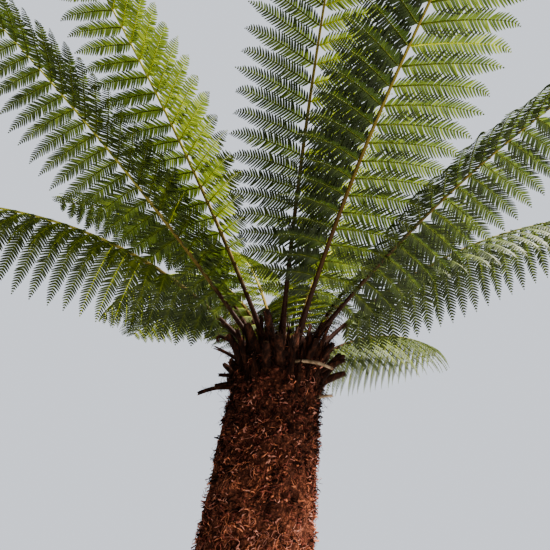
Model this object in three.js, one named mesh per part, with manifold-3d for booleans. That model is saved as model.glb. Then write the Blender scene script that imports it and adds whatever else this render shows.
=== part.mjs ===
import * as THREE from "three";
import Module from "manifold-3d";

// A tree fern: a leaning trunk in a thick mantle of fibres, the bases of old stalks round its
// head, and a crown of long arching fronds, each cut to its rib between the leaflets.
// Millimetres, +Z up, the origin on the ground under the middle of the trunk's foot.

const wasm = await Module();
wasm.setup();

const UP = new THREE.Vector3(0, 0, 1);

// Trunk: heights, radii and the curved lean
const TRUNK_TOP = 2500;
const NECK_HEIGHT = 2310;
const NECK_RADIUS = 200;
const FOOT_SPREAD = 135;
const SPREAD_POWER = 1.3;
const FLARE_WIDTH = 36;
const FLARE_HEIGHT = 120;
const SHOULDER_HEIGHT = 2410;
const SHOULDER_REACH = 110;
const NECK_LEAN = 9;
const TRUNK_SIDES = 22;
const TRUNK_RINGS = 20;
const RING_POWER = 0.9;
// Waves round the mantle: how many, their turn in degrees, their twist in radians for each metre
// of height, and their share of the radius
const TRUNK_WAVES = [
  { count: 3, turn: 75, twist: 1.2, share: 0.022 },
  { count: 5, turn: 200, twist: -1.7, share: 0.016 },
  { count: 8, turn: 20, twist: 3.1, share: 0.01 },
];
const ROOT_LOBES = 7;
const ROOT_LOBE_TURN = 57;
const ROOT_LOBE_SHARE = 0.06;
const ROOT_LOBE_HEIGHT = 260;
const METRE = 1000;

// Woolly heart in the middle of the crown
const HEART_RADIUS = 60;
const HEART_HEIGHT = 96;
const HEART_SIDES = 14;
const HEART_RINGS = 4;

// Gap that every piece keeps to its neighbours
const GAP = 0.4;

// Fronds: the turn is counted from +X, and so is the seat, where the stalk stands on the head.
// Rise and tip are the slopes at the stalk and at the end. Hang is how far the leaflets bend
// down at their foot, and droop how far from there to their tip, left and right of the rib.
// Roll, where there is one, turns the blade about its rib. Degrees and millimetres.
const FRONDS = [
  { turn: -80, seat: -98, rise: 56, tip: 24, length: 2000, leaflet: 345, hang: 5, droop: [25, 25] },
  { turn: -69, seat: -67, rise: 41, tip: 9, length: 2000, leaflet: 375, hang: 5, droop: [25, 40] },
  { turn: -125, seat: -124, rise: 51, tip: 32, length: 2000, leaflet: 340, hang: 5, droop: [17, 25],
    roll: 14 },
  { turn: -143, seat: -146, rise: 44, tip: 32, length: 2000, leaflet: 390, hang: 8, droop: [25, 35] },
  { turn: -32, seat: -40, rise: 42, tip: 17, length: 2000, leaflet: 370, hang: 8, droop: [30, 45] },
  { turn: 2, seat: -10, rise: 45, tip: 5, length: 2000, leaflet: 390, hang: 28, droop: [40, 54] },
  { turn: -159, seat: -170, rise: 44, tip: -31, length: 2000, leaflet: 390, hang: 34, droop: [45, 45] },
  { turn: 48, seat: 38, rise: 36, tip: 4, length: 1700, leaflet: 390, hang: 34, droop: [46, 46] },
  { turn: 148, seat: 136, rise: 75, tip: -36, length: 1700, leaflet: 330, hang: 25, droop: [50, 50] },
  { turn: 102, seat: 115, rise: 46, tip: 12, length: 1850, leaflet: 330, hang: 8, droop: [34, 34] },
  { turn: 63, seat: 55, rise: 71, tip: 34, length: 1600, leaflet: 330, hang: 5, droop: [30, 30] },
  { turn: 114, seat: 98, rise: 71, tip: 34, length: 1600, leaflet: 330, hang: 5, droop: [30, 30] },
  { turn: 24, seat: 18, rise: 64, tip: 14, length: 1850, leaflet: 330, hang: 5, droop: [32, 32] },
  { turn: 128, seat: 155, rise: 48, tip: -2, length: 1900, leaflet: 330, hang: 5, droop: [32, 32] },
  { turn: 169, seat: 174, rise: 67, tip: 10, length: 1850, leaflet: 330, hang: 5, droop: [32, 32] },
  { turn: 82, seat: 76, rise: 57, tip: 24, length: 1700, leaflet: 330, hang: 6, droop: [32, 32] },
];
const LINE_STEPS = 60;
const ARCH_POWER = 1.2;
const BARE_SHARE = 0.12;
const PAIRS = 24;

// Where a frond leaves the head: steep ones stand near the heart, flat ones further out
const STEEP_RISE = 64;
const FLAT_RISE = 42;
const STEEP_SEAT = 88;
const FLAT_SEAT = 118;
const SEAT_DEPTH = 12;
const SEAT_SUNK = 45;

// Rib of a frond: width and depth of its three-sided section
const RIB_WIDTH = 33;
const RIB_BLADE_WIDTH = 22;
const RIB_TIP_WIDTH = 5;
const RIB_DEPTH_SHARE = 0.85;
const STALK_TAPER_POWER = 0.7;
const STALK_STATIONS = 4;

// Leaflets: slopes to the rib, the outline of their lengths along the blade, their widths
// against their spacing, their thickness, and the shorter lengths tried where one would touch
const SWEEP_START = 80;
const SWEEP_CHANGE = 30;
const OUTLINE_HEIGHT = 1.99;
const OUTLINE_START_POWER = 0.45;
const OUTLINE_END_POWER = 0.55;
const LEAFLET_STEPS = 6;
const LEAFLET_MIDDLE = 3;
const ROOT_SHARE = 0.56;
const WIDTH_SHARE = 0.74;
const LEAFLET_KEEL = 5;
const ROOT_KEEL_SHARE = 0.4;
const SHORTER = [1, 0.86, 0.72, 0.58, 0.44];
const CLEARANCE = 3;

// Old stalks round the head: the turn and height of the foot, the slope at the foot and at the
// end, a skew to the side, the length and the width. Degrees and millimetres.
const OLD_STALKS = [
  { turn: 184, height: 2336, rise: 6, tip: -36, skew: 6, length: 165, width: 24 },
  { turn: 200, height: 2348, rise: -6, tip: -18, skew: -12, length: 92, width: 24 },
  { turn: 172, height: 2404, rise: 12, tip: 4, skew: 0, length: 92, width: 22 },
  { turn: 190, height: 2440, rise: 34, tip: 18, skew: 0, length: 140, width: 30 },
  { turn: 212, height: 2436, rise: 52, tip: 2, skew: -24, length: 200, width: 20 },
  { turn: 2, height: 2340, rise: 40, tip: 12, skew: 4, length: 140, width: 36 },
  { turn: -20, height: 2378, rise: 36, tip: 8, skew: 12, length: 130, width: 28 },
  { turn: -84, height: 2392, rise: 4, tip: -42, skew: 66, length: 190, width: 19 },
  { turn: -22, height: 2272, rise: 10, tip: -6, skew: 8, length: 66, width: 18 },
];

// Stalk bases that clasp the head, set round it by the golden angle
const CLASPING_COUNT = 26;
const CLASPING_TURN = 137.508;
const CLASPING_START = -105;
const CLASPING_LOW = 2300;
const CLASPING_HIGH = 2405;
const CLASPING_RISE = 70;
const CLASPING_RISE_CHANGE = 18;
const CLASPING_LENGTH = 130;
const CLASPING_LENGTH_CHANGE = 80;
const CLASPING_WIDTH = 30;
const CLASPING_WIDTH_CHANGE = 10;
const CLASPING_SKEW = 15;
const CLASPING_SEED = 7;
const OLD_SIDES = 6;
const OLD_STATIONS = 4;
const OLD_SUNK = 30;
const OLD_HIGHEST_SEAT = 2440;
const OLD_SHORTER = [1, 0.85, 0.7, 0.55, 0.4];
const OLD_FLATNESS = 0.85;
const OLD_END_SHARE = 0.78;

const MATERIALS = {
  mantle: { color: 0x4a2415, roughness: 0.95, metalness: 0 },
  wool: { color: 0x5a3a20, roughness: 1, metalness: 0 },
  frond: { color: 0x5f8a2e, roughness: 0.55, metalness: 0 },
  old: { color: 0x3a2a1e, roughness: 0.9, metalness: 0 },
};

const radians = THREE.MathUtils.degToRad;
const mix = THREE.MathUtils.lerp;

// A fixed sequence of numbers between 0 and 1.
function randomSequence(seed) {
  let state = seed;
  return () => {
    state = (1664525 * state + 1013904223) % 4294967296;
    return state / 4294967296;
  };
}

// Middle of the trunk at a height: the lean grows from nothing at the ground.
function trunkAxis(height) {
  const shift = (Math.tan(radians(NECK_LEAN)) * height * height) / (2 * NECK_HEIGHT);
  return new THREE.Vector3(shift, 0, height);
}

function trunkRadius(height) {
  const above = Math.max(0, 1 - height / NECK_HEIGHT);
  const plain =
    NECK_RADIUS +
    FOOT_SPREAD * above ** SPREAD_POWER +
    FLARE_WIDTH * Math.exp(-height / FLARE_HEIGHT);
  const over = Math.max(0, height - SHOULDER_HEIGHT) / SHOULDER_REACH;
  return plain * Math.sqrt(Math.max(0, 1 - over * over));
}

// The mantle's uneven outline: long waves that turn with the height, and lobes at the foot.
function mantleShare(height, angle) {
  let share = 1;
  for (const wave of TRUNK_WAVES) {
    const turned = wave.count * angle + radians(wave.turn) + (wave.twist * height) / METRE;
    share += wave.share * Math.sin(turned);
  }
  const foot = Math.exp(-height / ROOT_LOBE_HEIGHT);
  return share + ROOT_LOBE_SHARE * foot * Math.sin(ROOT_LOBES * angle + radians(ROOT_LOBE_TURN));
}

function meshArrays() {
  return { points: [], faces: [] };
}

function addPoint(arrays, point) {
  arrays.points.push(point.x, point.y, point.z);
  return arrays.points.length / 3 - 1;
}

// Four corners in turn, seen from outside.
function addQuad(arrays, a, b, c, d) {
  arrays.faces.push(a, b, c, a, c, d);
}

function pointOf(arrays, index) {
  return new THREE.Vector3().fromArray(arrays.points, 3 * index);
}

// Four corners in turn, split along the diagonal that lies further out.
function addBulgingQuad(arrays, a, b, c, d) {
  const corner = pointOf(arrays, a);
  const [ab, ac, ad] = [b, c, d].map((index) => pointOf(arrays, index).sub(corner));
  if (ab.cross(ac).dot(ad) > 0) addQuad(arrays, b, c, d, a);
  else addQuad(arrays, a, b, c, d);
}

// A wall between two loops of points that run the same way, seen from the second one.
function addWall(arrays, first, second) {
  first.forEach((here, i) => {
    const next = (i + 1) % first.length;
    addBulgingQuad(arrays, here, first[next], second[next], second[i]);
  });
}

function addFan(arrays, loop, point) {
  const middle = addPoint(arrays, point);
  loop.forEach((here, i) => {
    arrays.faces.push(here, loop[(i + 1) % loop.length], middle);
  });
}

function asSolid(arrays) {
  const mesh = new wasm.Mesh({
    numProp: 3,
    vertProperties: new Float32Array(arrays.points),
    triVerts: new Uint32Array(arrays.faces),
  });
  return new wasm.Manifold(mesh);
}

function asGeometry(solid) {
  const mesh = solid.getMesh();
  const geometry = new THREE.BufferGeometry();
  geometry.setAttribute("position", new THREE.BufferAttribute(mesh.vertProperties, 3));
  geometry.setIndex(new THREE.BufferAttribute(mesh.triVerts, 1));
  geometry.computeVertexNormals();
  return geometry;
}

// A closed body through rings of points, each seen the same way round from above its end.
function loft(rings, startPoint, endPoint) {
  const arrays = meshArrays();
  const loops = rings.map((ring) => ring.map((point) => addPoint(arrays, point)));
  for (let i = 1; i < loops.length; i++) addWall(arrays, loops[i - 1], loops[i]);
  addFan(arrays, [...loops[0]].reverse(), startPoint);
  addFan(arrays, loops[loops.length - 1], endPoint);
  return asSolid(arrays);
}

// The trunk, or a slightly fatter copy of it that cuts a seat with the right gap.
function trunkSolid(extra) {
  const rings = [];
  for (let i = 0; i <= TRUNK_RINGS; i++) {
    const height = TRUNK_TOP * (i / TRUNK_RINGS) ** RING_POWER;
    const middle = trunkAxis(height);
    const ring = [];
    for (let side = 0; side < TRUNK_SIDES; side++) {
      const angle = (2 * Math.PI * side) / TRUNK_SIDES;
      const radius = trunkRadius(height) * mantleShare(height, angle) + extra;
      const out = new THREE.Vector3(Math.cos(angle), Math.sin(angle), 0);
      ring.push(middle.clone().addScaledVector(out, radius));
    }
    if (i === TRUNK_RINGS) ring.forEach((point) => (point.z += extra));
    rings.push(ring);
  }
  const top = trunkAxis(TRUNK_TOP);
  top.z += extra;
  return loft(rings, new THREE.Vector3(), top);
}

function heartSolid() {
  const foot = trunkAxis(TRUNK_TOP);
  foot.z += GAP;
  const rings = [];
  for (let i = 0; i < HEART_RINGS; i++) {
    const share = i / HEART_RINGS;
    const radius = HEART_RADIUS * Math.sqrt(1 - share * share);
    const ring = [];
    for (let side = 0; side < HEART_SIDES; side++) {
      const angle = (2 * Math.PI * side) / HEART_SIDES;
      const out = new THREE.Vector3(Math.cos(angle) * radius, Math.sin(angle) * radius, 0);
      out.z = HEART_HEIGHT * share;
      ring.push(foot.clone().add(out));
    }
    rings.push(ring);
  }
  return loft(rings, foot, foot.clone().addScaledVector(UP, HEART_HEIGHT));
}

function direction(turn, slope) {
  const flat = Math.cos(slope);
  return new THREE.Vector3(flat * Math.cos(turn), flat * Math.sin(turn), Math.sin(slope));
}

// Height of the shoulder's surface where its radius is the one given.
function shoulderHeight(radius) {
  const share = Math.min(1, radius / NECK_RADIUS);
  return Math.min(TRUNK_TOP, SHOULDER_HEIGHT + SHOULDER_REACH * Math.sqrt(1 - share * share));
}

// The line of a frond's rib, from its seat on the head to its tip.
function frondLine(frond) {
  const flatness = (STEEP_RISE - frond.rise) / (STEEP_RISE - FLAT_RISE);
  const reach = mix(STEEP_SEAT, FLAT_SEAT, THREE.MathUtils.clamp(flatness, 0, 1));
  const turn = radians(frond.turn);
  const height = shoulderHeight(reach) - SEAT_DEPTH;
  const point = trunkAxis(height).addScaledVector(direction(radians(frond.seat), 0), reach);
  const points = [point.clone()];
  const directions = [];
  for (let i = 0; i < LINE_STEPS; i++) {
    const share = i / LINE_STEPS;
    const slope = mix(frond.rise, frond.tip, share ** ARCH_POWER);
    directions.push(direction(turn, radians(slope)));
    point.addScaledVector(directions[i], frond.length / LINE_STEPS);
    points.push(point.clone());
  }
  directions.push(directions[LINE_STEPS - 1].clone());
  return { points, directions };
}

// Place on the rib's line at a share of its length, with the directions along, right and up.
function lineFrame(frond, line, share) {
  const position = THREE.MathUtils.clamp(share, 0, 1) * LINE_STEPS;
  const first = Math.min(LINE_STEPS - 1, Math.floor(position));
  const part = position - first;
  const along = line.directions[first].clone().lerp(line.directions[first + 1], part).normalize();
  const point = line.points[first].clone().lerp(line.points[first + 1], part);
  if (share < 0) point.addScaledVector(along, share * frond.length);
  const roll = radians(frond.roll ?? 0);
  const right = new THREE.Vector3().crossVectors(along, UP).normalize();
  const up = new THREE.Vector3().crossVectors(right, along);
  const rolledRight = right.clone().multiplyScalar(Math.cos(roll)).addScaledVector(up, Math.sin(roll));
  const rolledUp = new THREE.Vector3().crossVectors(rolledRight, along);
  return { point, along, right: rolledRight, up: rolledUp };
}

function ribWidth(share) {
  if (share < BARE_SHARE) {
    return mix(RIB_WIDTH, RIB_BLADE_WIDTH, Math.max(0, share / BARE_SHARE) ** STALK_TAPER_POWER);
  }
  return mix(RIB_BLADE_WIDTH, RIB_TIP_WIDTH, (share - BARE_SHARE) / (1 - BARE_SHARE));
}

// Angle between a leaflet and the rib at a place along the blade, in radians.
function leafletSweep(place) {
  return radians(SWEEP_START - SWEEP_CHANGE * place);
}

// Width of a leaflet's middle: a share of the room that its slope leaves between two neighbours.
function leafletWidth(frond, place) {
  return WIDTH_SHARE * leafletSpacing(frond) * Math.sin(leafletSweep(place));
}

function leafletSpacing(frond) {
  return (frond.length * (1 - BARE_SHARE)) / PAIRS;
}

// Length of a leaflet along the blade: short at the foot, longest near the middle, small at the tip.
function leafletLength(frond, place) {
  const rise = place ** OUTLINE_START_POWER;
  const fall = (1 - place) ** OUTLINE_END_POWER;
  return frond.leaflet * Math.min(1, OUTLINE_HEIGHT * rise * fall);
}

// The curved middle line of a leaflet on one side, with its own length, bending down as it goes.
function leafletLine(frond, frame, place, side, length) {
  const sweep = leafletSweep(place);
  const out = frame.right
    .clone()
    .multiplyScalar(side * Math.sin(sweep))
    .addScaledVector(frame.along, Math.cos(sweep))
    .normalize();
  const down = UP.clone().negate();
  down.addScaledVector(out, -down.dot(out)).normalize();
  const half = ribWidth(BARE_SHARE + (1 - BARE_SHARE) * place) / 2;
  const point = frame.point.clone().addScaledVector(frame.right, side * half);
  const points = [point.clone()];
  const headings = [];
  const [droopLeft, droopRight] = frond.droop;
  const droop = side < 0 ? droopLeft : droopRight;
  for (let i = 0; i < LEAFLET_STEPS; i++) {
    const bend = radians(frond.hang + (droop * (i + 0.5)) / LEAFLET_STEPS);
    const heading = out
      .clone()
      .multiplyScalar(Math.cos(bend))
      .addScaledVector(down, Math.sin(bend));
    headings.push(heading);
    point.addScaledVector(heading, length / LEAFLET_STEPS);
    points.push(point.clone());
  }
  return { points, headings };
}

// Middle section and tip of a leaflet, as the corners that its walls run to. The first edge is
// the one that its root loop starts with.
function leafletCorners(frame, line, side, width, extra) {
  const heading = line.headings[LEAFLET_MIDDLE];
  const across = frame.along.clone().addScaledVector(heading, -frame.along.dot(heading)).normalize();
  const normal = new THREE.Vector3().crossVectors(across, heading).multiplyScalar(-side);
  const middle = line.points[LEAFLET_MIDDLE].clone().addScaledVector(normal, extra);
  const reach = side * (width / 2 + extra);
  return {
    first: middle.clone().addScaledVector(across, reach),
    second: middle.clone().addScaledVector(across, -reach),
    keel: middle.clone().addScaledVector(normal, -LEAFLET_KEEL - 2 * extra),
    tip: line.points[LEAFLET_STEPS].clone().addScaledVector(heading, extra),
    normal,
  };
}

// One leaflet as a body of its own, a little fatter than life, to try it against its neighbours.
function trialLeaflet(frame, line, side, rootWidth, width) {
  const corners = leafletCorners(frame, line, side, width, CLEARANCE);
  const root = line.points[0];
  const reach = side * (rootWidth / 2 + CLEARANCE);
  const arrays = meshArrays();
  const rootLoop = [
    root.clone().addScaledVector(frame.along, reach),
    root.clone().addScaledVector(frame.along, -reach),
    root.clone().addScaledVector(corners.normal, -LEAFLET_KEEL - 2 * CLEARANCE),
  ].map((point) => addPoint(arrays, point.addScaledVector(corners.normal, CLEARANCE)));
  const middleLoop = [corners.first, corners.second, corners.keel].map((point) =>
    addPoint(arrays, point),
  );
  arrays.faces.push(rootLoop[0], rootLoop[2], rootLoop[1]);
  addWall(arrays, rootLoop, middleLoop);
  addFan(arrays, middleLoop, corners.tip);
  return asSolid(arrays);
}

// Places of the leaflet pairs along the blade.
function pairPlaces() {
  return Array.from({ length: PAIRS }, (_, k) => (k + 0.5) / PAIRS);
}

// Lengths of a frond's leaflets before any has grown, by pair and side.
function noLeaflets() {
  return pairPlaces().map(() => ({ "-1": 0, 1: 0 }));
}

// The rib's corner points at a share of its length.
function ribCorners(frond, line, share) {
  const frame = lineFrame(frond, line, share);
  const width = ribWidth(share);
  return {
    left: frame.point.clone().addScaledVector(frame.right, -width / 2),
    right: frame.point.clone().addScaledVector(frame.right, width / 2),
    keel: frame.point.clone().addScaledVector(frame.up, -width * RIB_DEPTH_SHARE),
  };
}

// A frond as one closed blade: its rib, with a leaflet grown out of each side between the two
// stations of every pair. A leaflet with no length stays part of the rib's side.
function frondSolid(frond, line, lengths) {
  const arrays = meshArrays();
  const half = (ROOT_SHARE * (1 - BARE_SHARE)) / PAIRS / 2;
  const addStation = (share) => {
    const corners = ribCorners(frond, line, share);
    return [corners.left, corners.right, corners.keel].map((point) => addPoint(arrays, point));
  };
  const start = -SEAT_SUNK / frond.length;
  let last = addStation(start);
  arrays.faces.push(last[0], last[2], last[1]);
  for (let i = 1; i <= STALK_STATIONS; i++) {
    const next = addStation(mix(start, BARE_SHARE, i / STALK_STATIONS) - half / STALK_STATIONS);
    addWall(arrays, last, next);
    last = next;
  }
  pairPlaces().forEach((place, k) => {
    const share = BARE_SHARE + (1 - BARE_SHARE) * place;
    const near = addStation(share - half);
    addWall(arrays, last, near);
    const far = addStation(share + half);
    addQuad(arrays, near[0], near[1], far[1], far[0]);
    for (const side of [-1, 1]) {
      const length = lengths[k][side];
      const edge = side < 0 ? 0 : 1;
      const wall = side < 0 ? [near[2], near[0], far[0], far[2]] : [near[1], near[2], far[2], far[1]];
      if (!length) {
        addQuad(arrays, ...wall);
        continue;
      }
      const frame = lineFrame(frond, line, share);
      const leaflet = leafletLine(frond, frame, place, side, length);
      const corners = leafletCorners(frame, leaflet, side, leafletWidth(frond, place), 0);
      const middle = ribCorners(frond, line, share);
      const edgePoint = side < 0 ? middle.left : middle.right;
      const keel = addPoint(arrays, edgePoint.lerp(middle.keel, ROOT_KEEL_SHARE));
      const root = side < 0 ? [near[edge], far[edge], keel] : [far[edge], near[edge], keel];
      wall.forEach((here, i) => {
        const next = wall[(i + 1) % 4];
        if (here !== root[0] || next !== root[1]) arrays.faces.push(here, next, keel);
      });
      const loop = [corners.first, corners.second, corners.keel].map((point) =>
        addPoint(arrays, point),
      );
      addWall(arrays, root, loop);
      addFan(arrays, loop, corners.tip);
    }
    last = far;
  });
  addFan(arrays, last, line.points[LINE_STEPS]);
  return asSolid(arrays);
}

function boxesMeet(a, b) {
  return [0, 1, 2].every((i) => a.min[i] <= b.max[i] && b.min[i] <= a.max[i]);
}

function touches(solid, others) {
  const box = solid.boundingBox();
  return others.some((other) => boxesMeet(box, other.box) && solid.intersect(other.solid).volume() > 0);
}

function withBox(solid) {
  return { solid, box: solid.boundingBox() };
}

// Lengths of all leaflets: each is tried against every other frond, what stands on the head and
// the leaflets before it on its own side, and made shorter, or left out, where it would touch.
function fitLeaflets(lines, ribs, obstacles) {
  const lengths = FRONDS.map(noLeaflets);
  const grown = FRONDS.map(() => []);
  FRONDS.forEach((frond, i) => {
    const rootWidth = ROOT_SHARE * leafletSpacing(frond);
    const own = { "-1": [], 1: [] };
    const others = [...obstacles, ...ribs.filter((_, j) => j !== i), ...grown.flat()];
    pairPlaces().forEach((place, k) => {
      const frame = lineFrame(frond, lines[i], BARE_SHARE + (1 - BARE_SHARE) * place);
      for (const side of [-1, 1]) {
        for (const share of SHORTER) {
          const length = leafletLength(frond, place) * share;
          const leaflet = leafletLine(frond, frame, place, side, length);
          const width = leafletWidth(frond, place);
          const trial = trialLeaflet(frame, leaflet, side, rootWidth, width);
          if (touches(trial, others) || touches(trial, own[side])) continue;
          lengths[i][k][side] = length;
          own[side].push(withBox(trial));
          grown[i].push(withBox(trial));
          break;
        }
      }
    });
  });
  return lengths;
}

// An old stalk: a flattened tapering tube that starts inside the trunk and bends on its way.
function oldStalkSolid(stalk, share) {
  const length = stalk.length * share;
  const foot = direction(radians(stalk.turn), 0);
  const heading = stalk.turn + stalk.skew;
  const seat = trunkRadius(Math.max(stalk.height, OLD_HIGHEST_SEAT)) - OLD_SUNK;
  const point = trunkAxis(stalk.height).addScaledVector(foot, seat);
  const rings = [];
  let end;
  for (let i = 0; i <= OLD_STATIONS; i++) {
    const along = direction(radians(heading), radians(mix(stalk.rise, stalk.tip, i / OLD_STATIONS)));
    const right = new THREE.Vector3().crossVectors(along, UP).normalize();
    const up = new THREE.Vector3().crossVectors(right, along);
    const half = (stalk.width * mix(1, OLD_END_SHARE, i / OLD_STATIONS)) / 2;
    const ring = [];
    for (let side = 0; side < OLD_SIDES; side++) {
      const angle = (-2 * Math.PI * side) / OLD_SIDES;
      ring.push(
        point
          .clone()
          .addScaledVector(right, half * Math.cos(angle))
          .addScaledVector(up, half * OLD_FLATNESS * Math.sin(angle)),
      );
    }
    rings.push(ring);
    end = point.clone();
    point.addScaledVector(along, (length + OLD_SUNK) / OLD_STATIONS);
  }
  return loft(rings, rings[0][0].clone().lerp(rings[0][OLD_SIDES / 2], 0.5), end);
}

function claspingStalks() {
  const random = randomSequence(CLASPING_SEED);
  return Array.from({ length: CLASPING_COUNT }, (_, i) => {
    const height = mix(CLASPING_LOW, CLASPING_HIGH, random());
    const rise = CLASPING_RISE - CLASPING_RISE_CHANGE * random();
    return {
      turn: CLASPING_START + CLASPING_TURN * i,
      height,
      rise,
      tip: rise - 2 * CLASPING_RISE_CHANGE * random(),
      skew: mix(-CLASPING_SKEW, CLASPING_SKEW, random()),
      length: CLASPING_LENGTH + CLASPING_LENGTH_CHANGE * random(),
      width: CLASPING_WIDTH + CLASPING_WIDTH_CHANGE * random(),
    };
  });
}

// Old stalks that stand free of the fronds' ribs and of each other.
function fitOldStalks(cutter, obstacles) {
  const kept = [];
  for (const stalk of [...OLD_STALKS, ...claspingStalks()]) {
    for (const share of OLD_SHORTER) {
      const solid = oldStalkSolid(stalk, share);
      if (touches(solid, [...obstacles, ...kept.map(withBox)])) continue;
      kept.push(solid.subtract(cutter));
      break;
    }
  }
  return kept;
}

function namedMesh(name, solid, material) {
  const mesh = new THREE.Mesh(asGeometry(solid), material);
  mesh.name = name;
  return mesh;
}

function numbered(stem, index) {
  return stem + "_" + String(index + 1).padStart(2, "0");
}

const finish = {};
for (const [name, values] of Object.entries(MATERIALS)) {
  finish[name] = new THREE.MeshStandardMaterial(values);
}

const trunk = trunkSolid(0);
const seatCutter = trunkSolid(GAP);
const heart = heartSolid();
const lines = FRONDS.map(frondLine);
const ribs = FRONDS.map((frond, i) => withBox(frondSolid(frond, lines[i], noLeaflets())));
const oldStalks = fitOldStalks(seatCutter, [withBox(heart), ...ribs]);
const headPieces = [withBox(trunk), withBox(heart), ...oldStalks.map(withBox)];
const lengths = fitLeaflets(lines, ribs, headPieces);

const fern = new THREE.Group();
fern.add(namedMesh("trunk", trunk, finish.mantle));
fern.add(namedMesh("crown_heart", heart, finish.wool));
oldStalks.forEach((solid, i) => fern.add(namedMesh(numbered("old_stalk", i), solid, finish.old)));
FRONDS.forEach((frond, i) => {
  const solid = frondSolid(frond, lines[i], lengths[i]).subtract(seatCutter);
  fern.add(namedMesh(numbered("frond", i), solid, finish.frond));
});

export default fern;
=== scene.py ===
"""A tree fern: a fibrous leaning trunk, broken old stalks round its head, and arching fronds.

Metres, +Z up, the origin on the ground under the middle of the trunk's foot.
"""

import logging
import math
from dataclasses import dataclass, field
from enum import Enum

import bpy
import numpy as np
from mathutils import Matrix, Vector, kdtree, noise


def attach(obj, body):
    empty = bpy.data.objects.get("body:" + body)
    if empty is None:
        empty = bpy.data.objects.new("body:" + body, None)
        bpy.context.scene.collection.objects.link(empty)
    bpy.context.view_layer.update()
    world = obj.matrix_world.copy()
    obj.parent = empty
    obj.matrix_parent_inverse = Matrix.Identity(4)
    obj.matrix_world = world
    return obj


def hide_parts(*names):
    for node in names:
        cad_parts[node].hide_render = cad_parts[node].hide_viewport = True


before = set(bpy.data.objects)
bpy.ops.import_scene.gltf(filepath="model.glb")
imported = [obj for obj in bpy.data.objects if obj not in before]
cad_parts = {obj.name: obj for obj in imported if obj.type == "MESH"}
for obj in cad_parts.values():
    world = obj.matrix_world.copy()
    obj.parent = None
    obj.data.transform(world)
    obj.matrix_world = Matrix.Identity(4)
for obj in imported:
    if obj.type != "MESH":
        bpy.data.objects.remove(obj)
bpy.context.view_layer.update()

Array = np.ndarray
Triple = tuple[float, float, float]
Colour = Triple
Shape = tuple[Array, list[Array]]
Values = dict[str | int, object]
Material = bpy.types.Material
Piece = bpy.types.Object
Random = np.random.Generator

BODY = "root"
UP = np.array([0.0, 0.0, 1.0])
ASKEW = UP + 0.1
HAIR_SIDES = 3
EVEN = (1.0, 1.0, 1.0)
MATCH = 0.002
GOLDEN_ANGLE = 137.508

log = logging.getLogger("tree_fern")


class Light(Enum):
    """Painted sun and shade on one side of a frond, from 0, the deepest leaf tint, to 5, the brightest."""

    DEEP = 0.2
    SHADED = 1.2
    MIXED = 1.8
    BRIGHT = 3.0
    SUNLIT = 3.8


class Side(Enum):
    """The two sides of a rib, seen along it from above."""

    LEFT = -1
    RIGHT = 1


def unit(vectors: Array) -> Array:
    """Vectors brought to length one along their last axis."""
    return vectors / np.maximum(np.linalg.norm(vectors, axis=-1, keepdims=True), 1e-12)


def direction(turn: float, slope: float) -> Array:
    """A unit vector from a turn about +Z and a slope over the level, both in radians."""
    flat = math.cos(slope)
    return np.array([flat * math.cos(turn), flat * math.sin(turn), math.sin(slope)])


def blend(first: float, second: float, share: float) -> float:
    """A value part of the way from the first to the second."""
    return first + (second - first) * share


def full_turn(count: int) -> Array:
    """Angles spread evenly over a full turn."""
    return np.arange(count) * (2 * np.pi / count)


def rings_of(rows: int, columns: int) -> tuple[Array, Array, Array]:
    """Closed rings of points, one above the other.

    Args:
        rows: How many rings there are.
        columns: How many points a ring has.

    Returns:
        The points' numbers, one ring a row, the number of each one's neighbour, and the walls between rings.
    """
    places = np.arange(rows * columns).reshape(rows, columns)
    turned = np.roll(places, -1, axis=1)
    walls = np.stack([places[:-1], turned[:-1], turned[1:], places[1:]], axis=-1)
    return places, turned, walls.reshape(-1, 4)


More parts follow.
